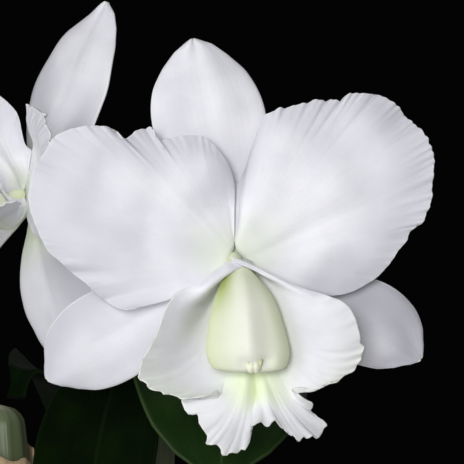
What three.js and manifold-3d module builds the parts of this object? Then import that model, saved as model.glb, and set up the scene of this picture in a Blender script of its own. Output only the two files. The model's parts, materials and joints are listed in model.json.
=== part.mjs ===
// A potted orchid, Cattleya obrieniana in its white form, in millimetres with +Z up.
//
// Two white blooms stand on one flower stem. The front one faces -Y and the other, a younger one with
// cupped petals, faces to the left. The stem rises between the two leaves of a cane-like pseudobulb. Four
// pseudobulbs grow from a creeping rhizome, which lies on bark chips in a plain clay pot, with a few thick
// aerial roots. The origin is on the table under the middle of the pot.
import * as THREE from "three";
import { mergeVertices } from "three/addons/utils/BufferGeometryUtils.js";
import Module from "manifold-3d";

const wasm = await Module();
wasm.setup();

// Driving dimensions of the whole plant.
const SEAT_GAP = 0.35; // between two pieces that touch
const POT_HEIGHT = 112;
const POT_RIM_RADIUS = 66;
const POT_FOOT_RADIUS = 44;
const POT_WALL = 5;
const BARK_TOP = 102;
const RHIZOME_RADIUS = 5;
const RHIZOME_HEIGHT = 106; // height of the rhizome's middle line
const PETAL_THICKNESS = 0.8;
const LIP_THICKNESS = 0.8;
const LEAF_THICKNESS = 1.6;
const RECEPTACLE = { radius: 3.9, back: -1.8, front: 2.9 }; // the end of the ovary, which carries a bloom

// Each bloom stands at a place, turned by a roll in its own plane, a pitch down and a yaw about the
// vertical. Its own axes are right, up and out towards its viewer. Its right and left petals cup outwards and
// are raised, its sepals sweep back, its lateral sepals droop, its lip and column lift out of its plane and
// swing to the right, and the side lobes of its lip furl up beside the column, all in degrees. A trough is how
// far the upper half of the right and left petals stands forward, per square millimetre. A waist is how narrow
// each petal is near the claw and at the far end. Sepals are the widths of the dorsal, right and left one, and
// broad is how much each is widened towards its foot. Pleats and frills are the strips that the petals and the
// lip are made of.
const BLOOMS = [
  {
    name: "front_bloom", at: [20, -58, 285], roll: 0, pitch: 0, yaw: 0,
    cup: [0, 0], raise: 0, sweep: 0, droop: [0, 0], lift: 0, swing: 0, furl: 0,
    lipSize: 1, trough: [0, 0], waist: [[1, 1], [1, 1]], sepals: [1, 0.82, 0.85], broad: [0, 0, 0],
    pleats: 32, frills: 52,
  },
  {
    name: "side_bloom", at: [-35, -8, 301], roll: -27, pitch: -4, yaw: -55,
    cup: [27, 37], raise: 4, sweep: 9, droop: [-18, 2], lift: 58, swing: 6, furl: 48,
    lipSize: 0.92, trough: [0.01, 0], waist: [[0.8, 0.75], [0.5, 0.8]], sepals: [1, 0.92, 0.88],
    broad: [0.9, 1, 0], pleats: 22, frills: 34,
  },
];

// Colours.
const WHITE = { color: 0xf2f1f4, roughness: 0.55 };
const LIP_WHITE = { color: 0xf0f4e6, roughness: 0.5 };
const COLUMN_GREEN = { color: 0xe4ecc4, roughness: 0.45 };
const LEAF_GREEN = { color: 0x2f6b1c, roughness: 0.4 };
const CANE_GREEN = { color: 0x6f8f3a, roughness: 0.5 };
const STEM_GREEN = { color: 0x86a84e, roughness: 0.5 };
const SHEATH_TAN = { color: 0xc9bd98, roughness: 0.8 };
const ROOT_GREY = { color: 0xcfd2c4, roughness: 0.85 };
const RHIZOME_BROWN = { color: 0x6d6a3c, roughness: 0.8 };
const BARK_BROWN = { color: 0x6a452b, roughness: 0.9 };
const CLAY = { color: 0xb5623c, roughness: 0.85 };

const plant = new THREE.Group();
const radians = THREE.MathUtils.degToRad;
const point = ([x, y, z = 0]) => new THREE.Vector3(x, y, z);

function add(name, geometry, look, parent = plant) {
  const mesh = new THREE.Mesh(geometry, new THREE.MeshStandardMaterial({ metalness: 0, ...look }));
  mesh.name = name;
  parent.add(mesh);
  return mesh;
}

// A repeatable stream of numbers from 0 to 1.
function randomStream(seed) {
  let state = seed;
  return () => {
    state = (state * 1664525 + 1013904223) % 4294967296;
    return state / 4294967296;
  };
}

// Solids for cutting and joining.
function bare(geometry) {
  const copy = geometry.clone();
  copy.deleteAttribute("normal");
  copy.deleteAttribute("uv");
  return mergeVertices(copy, 1e-4);
}

function solidOf(geometry) {
  const merged = bare(geometry);
  const vertProperties = new Float32Array(merged.getAttribute("position").array);
  const triVerts = new Uint32Array(merged.getIndex().array);
  return new wasm.Manifold(new wasm.Mesh({ numProp: 3, vertProperties, triVerts }));
}

function geometryOf(solid) {
  const mesh = solid.getMesh();
  const geometry = new THREE.BufferGeometry();
  geometry.setAttribute("position", new THREE.BufferAttribute(new Float32Array(mesh.vertProperties), 3));
  geometry.setIndex(new THREE.BufferAttribute(new Uint32Array(mesh.triVerts), 1));
  return geometry;
}

function largestPiece(solid) {
  return solid.decompose().reduce((most, piece) => (piece.volume() > most.volume() ? piece : most));
}

// A smooth curve through rows of [parameter, x, y, z], read at any parameter from the first to the last.
function readRows(rows) {
  const curve = new THREE.CatmullRomCurve3(rows.map(([, ...p]) => point(p)), false, "catmullrom", 0.5);
  return (t) => {
    let i = 0;
    while (i < rows.length - 2 && t > rows[i + 1][0]) i += 1;
    const share = (t - rows[i][0]) / (rows[i + 1][0] - rows[i][0]);
    return curve.getPoint(Math.min(1, Math.max(0, (i + share) / (rows.length - 1))));
  };
}

// A smooth curve through evenly read points.
function readPoints(points) {
  return readRows(points.map((p, i) => [i / (points.length - 1), ...p]));
}

// A round bar along a curve, whose radius is a function of the share of its length.
function bar(points, radiusAt, sides, steps) {
  const curve = new THREE.CatmullRomCurve3(points.map(point), false, "catmullrom", 0.5);
  const { normals, binormals } = curve.computeFrenetFrames(steps, false);
  const geometry = new THREE.CylinderGeometry(1, 1, 1, sides, steps);
  const place = geometry.getAttribute("position");
  for (let i = 0; i < place.count; i += 1) {
    const step = Math.round((place.getY(i) + 0.5) * steps);
    const radius = radiusAt(step / steps);
    const p = curve.getPointAt(step / steps);
    p.addScaledVector(normals[step], place.getX(i) * radius);
    p.addScaledVector(binormals[step], -place.getZ(i) * radius);
    place.setXYZ(i, p.x, p.y, p.z);
  }
  return bare(geometry);
}

// A thin leaf-like solid about a surface(along, across), both from 0 to 1. Both faces are split alike.
function blade(surface, rows, columns, thickness) {
  const wide = columns + 1;
  const middle = [];
  for (let i = 0; i <= rows; i += 1) {
    for (let j = 0; j <= columns; j += 1) middle.push(surface(i / rows, j / columns));
  }
  const at = (i, j) => middle[Math.min(rows, Math.max(0, i)) * wide + Math.min(columns, Math.max(0, j))];
  const places = [];
  for (const side of [0.5, -0.5]) {
    for (let i = 0; i <= rows; i += 1) {
      for (let j = 0; j <= columns; j += 1) {
        const along = at(i + 1, j).clone().sub(at(i - 1, j));
        const across = at(i, j + 1).clone().sub(at(i, j - 1));
        const p = at(i, j).clone().addScaledVector(across.cross(along).normalize(), side * thickness);
        places.push(p.x, p.y, p.z);
      }
    }
  }
  const back = wide * (rows + 1);
  const index = [];
  for (let i = 0; i < rows; i += 1) {
    for (let j = 0; j < columns; j += 1) {
      const [a, b, c, d] = [i * wide + j, i * wide + j + 1, (i + 1) * wide + j + 1, (i + 1) * wide + j];
      index.push(a, b, c, a, c, d, back + a, back + c, back + b, back + a, back + d, back + c);
    }
  }
  const edge = (from, to) => index.push(from, back + from, back + to, from, back + to, to);
  for (let j = 0; j < columns; j += 1) {
    edge(j, j + 1);
    edge(rows * wide + j + 1, rows * wide + j);
  }
  for (let i = 0; i < rows; i += 1) {
    edge((i + 1) * wide, i * wide);
    edge(i * wide + columns, (i + 1) * wide + columns);
  }
  const geometry = new THREE.BufferGeometry();
  geometry.setAttribute("position", new THREE.BufferAttribute(new Float32Array(places), 3));
  geometry.setIndex(index);
  return geometry;
}

// Turns a point outwards (towards +z) by up to an angle, past a start along a direction in the plane.
const CURL_START = 7;
const CURL_LENGTH = 16;
function curl(p, directionDegrees, angleDegrees) {
  if (angleDegrees === 0) return p;
  const heading = radians(directionDegrees);
  const direction = new THREE.Vector3(Math.cos(heading), Math.sin(heading), 0);
  const distance = p.dot(direction) - CURL_START;
  if (distance <= 0) return p;
  const full = radians(angleDegrees);
  const radius = CURL_LENGTH / full;
  const angle = full * Math.min(1, distance / CURL_LENGTH);
  const beyond = Math.max(0, distance - CURL_LENGTH);
  const depth = p.z;
  const forward = radius * Math.sin(angle) + beyond * Math.cos(angle) - depth * Math.sin(angle);
  const outward = radius * (1 - Math.cos(angle)) + beyond * Math.sin(angle) + depth * (Math.cos(angle) - 1);
  return p.clone().addScaledVector(direction, forward - distance).add(new THREE.Vector3(0, 0, outward));
}

const OUT = new THREE.Vector3(0, 0, 1);

// Sepals: three plain pointed blades behind the petals, each a middle line with a half width along it. A trim
// is the share of that width left on either side, from the foot to the tip.
const SEPAL_WIDTHS = readRows([
  [0, 3.6, 0], [0.12, 7.2, 0], [0.3, 11.4, 0], [0.5, 14, 0], [0.63, 14.3, 0],
  [0.76, 12.6, 0], [0.87, 9, 0], [0.95, 5, 0], [1, 0.4, 0],
]);
const DORSAL_SEPAL = {
  line: [[0, 4.5, 0], [-2.8, 18, 0.4], [-6.2, 32, 0], [-9, 45, -1.4], [-11.5, 56, -3.4]],
  trim: [
    [0, 1, 1], [0.5, 1, 0.98], [0.63, 1, 0.95], [0.76, 1, 0.9], [0.87, 1, 0.86], [0.95, 1, 0.9], [1, 1, 1],
  ],
  direction: 102,
};
const RIGHT_SEPAL = {
  line: [[4, -2.4, -0.2], [16, -8.4, 0], [29, -14.6, -0.6], [39, -19.6, -1.6], [46, -24.4, -3]],
  trim: [
    [0, 1, 1], [0.4, 1, 1], [0.5, 1, 0.9], [0.63, 0.98, 0.81], [0.76, 0.93, 0.79], [0.87, 0.88, 0.78],
    [0.95, 0.8, 0.72], [1, 1, 1],
  ],
  direction: -26,
};
const LEFT_SEPAL = {
  line: [[-4, -2.4, -0.2], [-17, -10, 0], [-30, -17.4, -0.6], [-40.8, -23.8, -1.6], [-48, -29.6, -3]],
  trim: [
    [0, 1, 1], [0.4, 1, 1], [0.63, 0.95, 0.98], [0.76, 0.92, 0.93], [0.87, 0.9, 0.84], [0.95, 0.84, 0.72],
    [1, 1, 1],
  ],
  direction: 211,
};
const SEPAL_EDGE_BACK = 1.6; // how far a sepal's long edges stand behind its middle

function sepal({ line, trim, direction }, bloom, own, droop) {
  const middle = readPoints(line);
  const trimmed = readRows(trim);
  const surface = (step, across) => {
    const along = Math.sin((step * Math.PI) / 2);
    const p = middle(along);
    const ahead = middle(Math.min(1, along + 0.01)).sub(middle(Math.max(0, along - 0.01)));
    const side = new THREE.Vector3(ahead.y, -ahead.x, 0).normalize();
    const t = across * 2 - 1;
    const full = bloom.sepals[own] * (1 + bloom.broad[own] * Math.max(0, 0.8 - along));
    const half = SEPAL_WIDTHS(along).x * full * (t < 0 ? trimmed(along).x : trimmed(along).y);
    p.addScaledVector(side, t * half);
    p.z -= SEPAL_EDGE_BACK * t * t * Math.min(1, half / 8);
    const swept = curl(p, direction, -bloom.sweep);
    return swept.applyAxisAngle(OUT, radians(droop));
  };
  return blade(surface, 10, 4, PETAL_THICKNESS);
}

// Petals: broad and round, fanned out from a short claw, with a waved margin. The outline is the margin
// from the claw's upper end round to its lower end. A fold is [place along the margin, width, height, reach].
const RIGHT_PETAL = {
  claw: [[1.2, 6, 1.6], [5.4, -0.6, 1.6]],
  margin: [
    [1, 19], [2, 25], [3.3, 30], [4.8, 34], [7, 36.8], [12, 38.4], [18, 39.8], [24.5, 40.4],
    [25.8, 39.6], [28.5, 41.7], [33.5, 41.9], [38, 40.4], [42, 36], [45.6, 32.2], [48, 27.5], [48.5, 22],
    [47.8, 15.5], [45.5, 10], [42.6, 7], [39.2, 2.2], [35, -3.5], [30.5, -6.6], [24.5, -8], [18, -6.9],
  ],
  folds: [[0.19, 0.035, 1.4, 4], [0.28, 0.03, 2.2, 3], [0.325, 0.02, -1.6, 4], [0.5, 0.05, -1.2, 3],
    [0.68, 0.03, -1, 4], [0.74, 0.03, 1.3, 4], [0.88, 0.05, -0.8, 3]],
  direction: 31,
  own: 0,
  raised: 1,
};
const LEFT_PETAL = {
  claw: [[-5.4, -0.6, 1.6], [-1.4, 6, 1.6]],
  margin: [
    [-26, -11.5], [-31.5, -10.9], [-37, -6.4], [-42, -2],
    [-47.4, 3], [-50.5, 10], [-51.6, 16], [-50.6, 21.8], [-48, 27.6], [-44.3, 32], [-39, 33.4],
    [-33, 33.6], [-29.6, 32], [-28, 30.4], [-25.6, 32.2], [-21.6, 33.6], [-19.2, 31.6], [-15, 30.9],
    [-10, 31], [-5.6, 28.8], [-2.8, 24.4], [-0.9, 19],
  ],
  folds: [[0.06, 0.03, 1.4, 3], [0.12, 0.03, -1.2, 3], [0.19, 0.03, 1.2, 3], [0.36, 0.05, -0.8, 3],
    [0.57, 0.04, 1, 4], [0.64, 0.02, -2, 4], [0.72, 0.035, 2.6, 4], [0.86, 0.05, 1.6, 4]],
  direction: 157,
  own: 1,
  raised: -1,
};
const PETAL_RISE = 5.2; // how far the middle of a petal stands out before its claw, less so at its foot

// Narrows a point of a petal towards the petal's middle line, most of all a short way past its claw, and
// brings its upper half forward.
function narrow(p, directionDegrees, [near, far], trough) {
  const heading = radians(directionDegrees);
  const side = new THREE.Vector3(-Math.sin(heading), Math.cos(heading), 0);
  const distance = p.x * Math.cos(heading) + p.y * Math.sin(heading);
  const past = 1 - (1 - near) * THREE.MathUtils.smoothstep(distance, 2, 12);
  const share = past + (far - near) * THREE.MathUtils.smoothstep(distance, 10, 36);
  p.addScaledVector(side, p.dot(side) * (share - 1));
  p.z += trough * Math.max(0, p.dot(side)) ** 2;
  return p;
}

function petal({ claw, margin, folds, direction, own, raised }, bloom) {
  const [start, end] = claw.map(point);
  const outline = readPoints(margin);
  const surface = (reach, along) => {
    const p = start.clone().lerp(end, along).lerp(outline(along).setZ(start.z), reach);
    const upper = THREE.MathUtils.smoothstep(p.y, -7, 7);
    p.z += PETAL_RISE * Math.sin(reach * Math.PI * 0.6) * (0.4 + 0.6 * upper);
    for (const [place, width, height, power] of folds) {
      const depth = height * bloom.waist[own][0];
      p.z += depth * Math.exp(-(((along - place) / width) ** 2)) * reach ** power;
    }
    const shaped = narrow(p, direction, bloom.waist[own], bloom.trough[own]);
    return curl(shaped, direction, bloom.cup[own]).applyAxisAngle(OUT, radians(raised * bloom.raise));
  };
  return blade(surface, 6, bloom.pleats, PETAL_THICKNESS);
}

// Lip: one trumpet-like blade with two flared side lobes and a forked, frilled middle lobe. Each row holds
// [share of the way round, right, up, out]: first where the lip leaves the claw's open ring, then its throat
// beside the column, and last its margin, from the top left round the bottom to the top right.
const LIP_RING_RADIUS = 4.6;
const LIP_RING_OUT = 3.6;
const LIP_THROAT = readRows([
  [0, -0.4, 0.2, 11.9], [0.06, -3.8, -3.2, 12.9], [0.12, -7.2, -6.4, 12.4], [0.18, -10, -10.5, 8.8],
  [0.25, -10.6, -16.5, 7], [0.33, -8.6, -22.5, 7.2], [0.4, -4, -27, 8.8], [0.46, 0.5, -28.2, 9.6],
  [0.5, 4, -28.5, 9.2], [0.54, 7.5, -28.2, 9.6], [0.6, 12, -27, 8.8], [0.67, 15, -22, 7.2],
  [0.75, 15, -15, 7], [0.82, 12.6, -9, 8.6], [0.88, 9, -5.3, 10.7], [0.94, 5, -2.4, 11.9],
  [1, 0.9, 0.2, 11.9],
]);
const LIP_MARGIN = readRows([
  [0, -0.3, 0.3, 11.4], [0.03, -2.6, 0, 12], [0.06, -5, -1.6, 12.4], [0.1, -8.6, -4.5, 12.8],
  [0.14, -12.5, -6.2, 12.8], [0.18, -16.2, -9.2, 13], [0.22, -18.8, -13.5, 13.2], [0.25, -20.2, -18, 13.6],
  [0.28, -21.8, -21.8, 14.5], [0.3, -23.8, -24.2, 16], [0.32, -24, -28, 14], [0.34, -22, -30.4, 13.4],
  [0.36, -17, -32.2, 13], [0.38, -12, -33, 12.9], [0.395, -8.4, -32.4, 12.6], [0.41, -5.4, -31, 11.4],
  [0.42, -8.6, -34.2, 9.4], [0.43, -13.2, -34.6, 8.6], [0.44, -12.4, -37.4, 9.8], [0.45, -9.4, -39.8, 10.4],
  [0.46, -7.9, -43.8, 9.8], [0.47, -4.6, -46.4, 9.2], [0.48, -1.8, -47.4, 8.8], [0.488, 1.4, -46, 9.8],
  [0.495, 2.8, -42.6, 10.8], [0.505, 5.4, -39, 12], [0.515, 8.8, -38.8, 12], [0.525, 12.4, -41.8, 10.8],
  [0.535, 15.2, -43.8, 9.8], [0.55, 19.2, -43, 9], [0.56, 21.6, -40.4, 8.2], [0.575, 18.8, -37, 8.6],
  [0.585, 18, -34.4, 9.2], [0.597, 13.4, -30.6, 11.4], [0.61, 16.4, -30.4, 12.6], [0.63, 20.5, -30, 13],
  [0.65, 25, -28.4, 13.4], [0.67, 28.6, -26.2, 13.6], [0.69, 30.4, -23, 14.6], [0.705, 30.5, -21, 15.6],
  [0.72, 29.8, -18.5, 14.2], [0.76, 28.2, -12.8, 13.4], [0.8, 24.4, -9.1, 13], [0.84, 19.5, -7.2, 12.6],
  [0.88, 13.5, -5.4, 12.2], [0.92, 8.7, -3.2, 12.1], [0.96, 4.3, -0.9, 11.8], [1, 0.9, 0.3, 11.4],
]);

// Lifts a point of the lip or the column out of the bloom's plane and swings it aside, more so further out.
const LIFT_PIVOT = new THREE.Vector3(0, 0, LIP_RING_OUT);
function lifted(p, { lift, swing, lipSize }) {
  const offset = p.clone().sub(LIFT_PIVOT);
  const share = THREE.MathUtils.smoothstep(offset.length(), 4, 16);
  offset.multiplyScalar(1 + (lipSize - 1) * share);
  offset.applyAxisAngle(new THREE.Vector3(1, 0, 0), radians(-lift * share));
  offset.applyAxisAngle(new THREE.Vector3(0, 1, 0), radians(swing * share));
  return offset.add(LIFT_PIVOT);
}

// Rolls the side lobes of a young lip up beside the column, from the floor of the throat outwards.
const LIP_FLOOR = new THREE.Vector3(0, 0, 8);
function furled(p, { furl }) {
  const share = THREE.MathUtils.smoothstep(p.y, -37, -24);
  const right = curl(p.clone().sub(LIP_FLOOR), 0, furl * share);
  return curl(right, 180, furl * share).add(LIP_FLOOR);
}

function lip(bloom) {
  const surface = (reach, across) => {
    const round = 0.5 + (across - 0.5) * (0.55 + 0.45 * Math.abs(2 * across - 1));
    const angle = radians(100 + 340 * round);
    const p = new THREE.Vector3(Math.cos(angle), Math.sin(angle), 0)
      .multiplyScalar(LIP_RING_RADIUS)
      .setZ(LIP_RING_OUT)
      .multiplyScalar((1 - reach) * (1 - 2 * reach))
      .addScaledVector(LIP_THROAT(round), 4 * reach * (1 - reach))
      .addScaledVector(LIP_MARGIN(round), reach * (2 * reach - 1));
    return lifted(furled(p, bloom), bloom);
  };
  return blade(surface, 6, bloom.frills, LIP_THICKNESS);
}

// Column: the stout fused middle of a bloom, arched out and down, broadest near its end, where a pocket
// holds the small anther cap. Each row is [share of the length, half width, half depth].
const COLUMN_LINE = [[0, 0, 3.4], [0, -0.1, 5.2], [0.5, -3, 8.4], [1.5, -9, 11.6], [2.2, -16, 13.4],
  [2.7, -22, 14], [3, -27, 13.6]];
const COLUMN_SIZES = readRows([
  [0, 3.2, 3.2], [0.12, 3, 2.8], [0.25, 2.8, 2.5], [0.333, 3.5, 2.8], [0.42, 5.6, 3.2], [0.5, 7.3, 3.4],
  [0.6, 8.7, 3.6], [0.72, 9.8, 3.8], [0.83, 10.2, 3.9], [0.93, 9.4, 3.6], [1, 7.8, 2.6],
]);
const ANTHER_AT = [3.8, -25.2, 15.9];
const ANTHER_RADIUS = 1.9;

function anther(bloom, radius) {
  return new THREE.SphereGeometry(radius, 8, 6).translate(...lifted(point(ANTHER_AT), bloom));
}

function column(bloom) {
  const steps = 9;
  const curve = new THREE.CatmullRomCurve3(COLUMN_LINE.map(point), false, "catmullrom", 0.5);
  const geometry = new THREE.CylinderGeometry(1, 1, 1, 12, steps);
  const place = geometry.getAttribute("position");
  for (let i = 0; i < place.count; i += 1) {
    const along = Math.round((place.getY(i) + 0.5) * steps) / steps;
    const size = COLUMN_SIZES(along);
    const back = new THREE.Vector3(1, 0, 0).cross(curve.getTangentAt(along));
    const depth = place.getZ(i) > 0 ? 0.75 : 1;
    const p = curve.getPointAt(along);
    p.x += place.getX(i) * size.x;
    p.addScaledVector(back, place.getZ(i) * size.y * depth);
    place.setXYZ(i, ...lifted(p, bloom));
  }
  const pocket = anther(bloom, ANTHER_RADIUS + SEAT_GAP);
  return geometryOf(largestPiece(solidOf(geometry).subtract(solidOf(pocket))));
}

function turnOf({ roll, pitch, yaw }) {
  const [x, z] = [new THREE.Vector3(1, 0, 0), new THREE.Vector3(0, 0, 1)];
  const about = (axis, degrees) => new THREE.Quaternion().setFromAxisAngle(axis, radians(degrees));
  return about(z, yaw).multiply(about(x, 90 + pitch)).multiply(about(z, roll));
}

function bloomPoint(bloom, place) {
  return point(place).applyQuaternion(turnOf(bloom)).add(point(bloom.at)).toArray();
}

for (const bloom of BLOOMS) {
  const group = new THREE.Group();
  group.position.set(...bloom.at);
  group.quaternion.copy(turnOf(bloom));
  plant.add(group);
  add(`${bloom.name}_dorsal_sepal`, sepal(DORSAL_SEPAL, bloom, 0, 0), WHITE, group);
  add(`${bloom.name}_right_sepal`, sepal(RIGHT_SEPAL, bloom, 1, bloom.droop[0]), WHITE, group);
  add(`${bloom.name}_left_sepal`, sepal(LEFT_SEPAL, bloom, 2, bloom.droop[1]), WHITE, group);
  add(`${bloom.name}_right_petal`, petal(RIGHT_PETAL, bloom), WHITE, group);
  add(`${bloom.name}_left_petal`, petal(LEFT_PETAL, bloom), WHITE, group);
  add(`${bloom.name}_lip`, lip(bloom), LIP_WHITE, group);
  add(`${bloom.name}_column`, column(bloom), COLUMN_GREEN, group);
  add(`${bloom.name}_anther_cap`, bare(anther(bloom, ANTHER_RADIUS)), LIP_WHITE, group);
}

// Pseudobulbs: cane-like swollen stems with faint rings, each with the bow of its middle off a straight line.
const CANES = [
  { foot: [34, 30], head: [46, 42, 170], thick: 9, bow: [3, 2] },
  { foot: [13, 17], head: [22, 30, 190], thick: 9.5, bow: [2, -2] },
  { foot: [-8, 2], head: [-3, 7, 255], thick: 9, bow: [-3, 2] },
  { foot: [-29, -11], head: [-45, -9, 246], thick: 9.5, bow: [-4, 2] },
];
const CANE_FOOT_HEIGHT = RHIZOME_HEIGHT + RHIZOME_RADIUS + SEAT_GAP;
const CANE_HEAD_RADIUS = 6.2;
const CANE_RINGS = 4;

function caneLine({ foot, head, bow }) {
  const low = [...foot, CANE_FOOT_HEIGHT];
  const middle = low.map((v, i) => (v + head[i]) / 2 + (bow[i] ?? 0));
  const rise = [foot[0], foot[1], CANE_FOOT_HEIGHT + 6];
  return [low, rise, middle, head];
}

function caneRadius(thick) {
  return (along) => {
    const swell = Math.sin(Math.PI * Math.min(1, 0.16 + along * 0.72)) ** 1.2;
    const ring = 1 - 0.05 * Math.cos(2 * Math.PI * CANE_RINGS * along) ** 8;
    return (CANE_HEAD_RADIUS - 0.6 + (thick - CANE_HEAD_RADIUS + 0.6) * swell) * ring;
  };
}

CANES.forEach((cane, i) => {
  add(`pseudobulb_${i + 1}`, bar(caneLine(cane), caneRadius(cane.thick), 12, 16), CANE_GREEN);
});

// Papery sheaths: a dry skin, open at both ends, round the lower part of each pseudobulb.
const SHEATH_WALL = 0.7;
const SHEATH_CLEARANCE = 0.9;
const SHEATH_SPANS = [[0.06, 0.42], [0.06, 0.46], [0.05, 0.4], [0.08, 0.92]];

function skinRound(cane, [from, to], flare) {
  const curve = new THREE.CatmullRomCurve3(caneLine(cane).map(point), false, "catmullrom", 0.5);
  const radius = caneRadius(cane.thick);
  const stretch = [0, 1, 2, 3, 4, 5, 6].map((k) => curve.getPointAt(from + ((to - from) * k) / 6).toArray());
  const at = (share) => radius(from + (to - from) * share) + flare * share ** 3;
  const bore = (share) => at(Math.min(1, Math.max(0, share * 1.06 - 0.03))) + SHEATH_CLEARANCE;
  const ends = [stretch[0], stretch[6]].map(point);
  const lift = ends[1].clone().sub(ends[0]).normalize().multiplyScalar(2);
  const longer = [ends[0].clone().sub(lift).toArray(), ...stretch, ends[1].clone().add(lift).toArray()];
  const outer = solidOf(bar(stretch, (share) => at(share) + SHEATH_CLEARANCE + SHEATH_WALL, 12, 4));
  return geometryOf(largestPiece(outer.subtract(solidOf(bar(longer, bore, 12, 4)))));
}

CANES.forEach((cane, i) => add(`cane_sheath_${i + 1}`, skinRound(cane, SHEATH_SPANS[i], 0.5), SHEATH_TAN));

// Leaves: thick, leathery and slightly channelled, two on each pseudobulb. Each grows from one side of the
// head at an azimuth and a rise, bends down along its length, and is rolled about its own middle line.
const LEAVES = [
  { cane: 0, azimuth: 60, turn: -30, rise: 16, bend: 50, roll: 0, length: 92, width: 40 },
  { cane: 0, azimuth: -40, turn: 30, rise: 24, bend: 60, roll: 0, length: 84, width: 36 },
  { cane: 1, azimuth: 110, turn: 20, rise: 6, bend: 50, roll: 0, length: 100, width: 42 },
  { cane: 1, azimuth: -62, turn: 20, rise: 6, bend: 50, roll: 0, length: 92, width: 40 },
  { cane: 2, azimuth: -54, turn: -46, rise: -26, bend: 70, roll: 0, length: 70, width: 46 },
  { cane: 2, azimuth: 246, turn: 20, rise: -54, bend: 56, roll: 0, length: 90, width: 33 },
  { cane: 3, azimuth: 172, turn: -10, rise: -4, bend: 60, roll: 0, length: 108, width: 44 },
  { cane: 3, azimuth: 62, turn: 30, rise: -24, bend: 40, roll: 30, length: 96, width: 42 },
];
const LEAF_HALF_WIDTHS = readRows([
  [0, 0.13, 0], [0.06, 0.15, 0], [0.16, 0.44, 0], [0.32, 0.86, 0], [0.5, 1, 0], [0.66, 0.95, 0],
  [0.8, 0.8, 0], [0.91, 0.54, 0], [0.97, 0.28, 0], [1, 0.05, 0],
]);
const LEAF_CHANNEL = 0.16; // depth of the channel, as a share of the half width
const LEAF_SEAT = 5.8; // from the middle of the head to where a leaf stands

function leaf({ cane, azimuth, turn, rise, bend, roll, length, width }) {
  const steps = 24;
  const up = new THREE.Vector3(0, 0, 1);
  const out = new THREE.Vector3(1, 0, 0).applyAxisAngle(up, radians(azimuth));
  const [, , middleOfCane, head] = caneLine(CANES[cane]).map(point);
  const lean = new THREE.Quaternion().setFromUnitVectors(up, head.clone().sub(middleOfCane).normalize());
  const seat = new THREE.Vector3(LEAF_SEAT, 0, SEAT_GAP + LEAF_THICKNESS / 2);
  seat.applyAxisAngle(up, radians(azimuth - turn)).applyQuaternion(lean).add(head);
  const line = [seat];
  for (let k = 1; k <= steps; k += 1) {
    const share = k / steps;
    const angle = radians(share < 0.1 ? 62 : rise + bend * (0.5 - share));
    const ahead = out.clone().applyAxisAngle(up, radians(turn * share)).multiplyScalar(Math.cos(angle));
    const step = ahead.addScaledVector(up, Math.sin(angle)).multiplyScalar(length / steps);
    line.push(line[k - 1].clone().add(step));
  }
  const middle = new THREE.CatmullRomCurve3(line, false, "catmullrom", 0.5);
  const surface = (along, across) => {
    const p = middle.getPointAt(along);
    const tangent = middle.getTangentAt(along);
    const turned = radians(roll * Math.min(1, along * 3));
    const side = new THREE.Vector3().crossVectors(tangent, up).normalize().applyAxisAngle(tangent, turned);
    const face = new THREE.Vector3().crossVectors(side, tangent);
    const t = across * 2 - 1;
    const half = (width / 2) * LEAF_HALF_WIDTHS(along).x;
    return p.addScaledVector(side, t * half).addScaledVector(face, LEAF_CHANNEL * half * (t * t - 0.4));
  };
  return blade(surface, 12, 4, LEAF_THICKNESS);
}

LEAVES.forEach((one, i) => add(`leaf_${i + 1}`, leaf(one), LEAF_GREEN));

// Flower stem: it rises from the third pseudobulb's head and forks into a short stalk for each bloom. A stalk
// swells into the ovary, whose end is the receptacle that the bloom's pieces sit round.
const FLOWERING = CANES[2].head;
const STEM_RADIUS = 1.9;
const STALK_RADIUS = 1.7;
const OVARY_RADIUS = 2.6;
const FORK = [-5, 5, 293];
const SLEEVE_HEIGHT = 27;

function aboveHead(rise) {
  return [FLOWERING[0], FLOWERING[1], FLOWERING[2] + SEAT_GAP + rise];
}

function stalk(bloom, points) {
  const { radius, back, front } = RECEPTACLE;
  const line = [...points, bloomPoint(bloom, [0, 0, -8]), bloomPoint(bloom, [0, 0, front - 1])];
  const ovary = (along) => THREE.MathUtils.smoothstep(along, 0.3, 0.6);
  const thickness = (along) => STALK_RADIUS + (OVARY_RADIUS - STALK_RADIUS) * ovary(along);
  const receptacle = new THREE.CylinderGeometry(radius, 0.95 * radius, front - back, 12);
  receptacle.rotateX(Math.PI / 2).translate(0, 0, (front + back) / 2);
  receptacle.applyQuaternion(turnOf(bloom)).translate(...bloom.at);
  return solidOf(bar(line, thickness, 7, 12)).add(solidOf(receptacle));
}

const stem = bar([aboveHead(0), aboveHead(14), aboveHead(28), FORK, [-4.6, 3, 296]], () => STEM_RADIUS, 7, 8);
const frontStalk = stalk(BLOOMS[0], [FORK, [2, -10, 299], [11, -28, 295]]);
const sideStalk = stalk(BLOOMS[1], [FORK, [-9, 6.5, 298.5], [-18.5, 2.5, 302]]);
add("flower_stem", geometryOf(solidOf(stem).add(frontStalk).add(sideStalk)), STEM_GREEN);

// Flower sheath: the flattened green sleeve that the flower stem grew through, open at the top.
const SLEEVE_OUTLINE = [[3, 0], [3.8, 0.3], [3.8, 0.6], [3.1, 1]];
const SLEEVE_WALL = 0.7;
const SLEEVE_FLATNESS = 1.25;
const sleeveOuter = SLEEVE_OUTLINE.map(([r, share]) => new THREE.Vector2(r, share * SLEEVE_HEIGHT));
const sleeveInner = sleeveOuter.map(({ x, y }) => new THREE.Vector2(x - SLEEVE_WALL, y)).reverse();
const sleeve = new THREE.LatheGeometry([...sleeveOuter, ...sleeveInner, sleeveOuter[0]], 12);
sleeve.rotateX(Math.PI / 2).scale(1, SLEEVE_FLATNESS, 1).translate(...aboveHead(0));
add("flower_sheath", bare(sleeve), STEM_GREEN);

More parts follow.
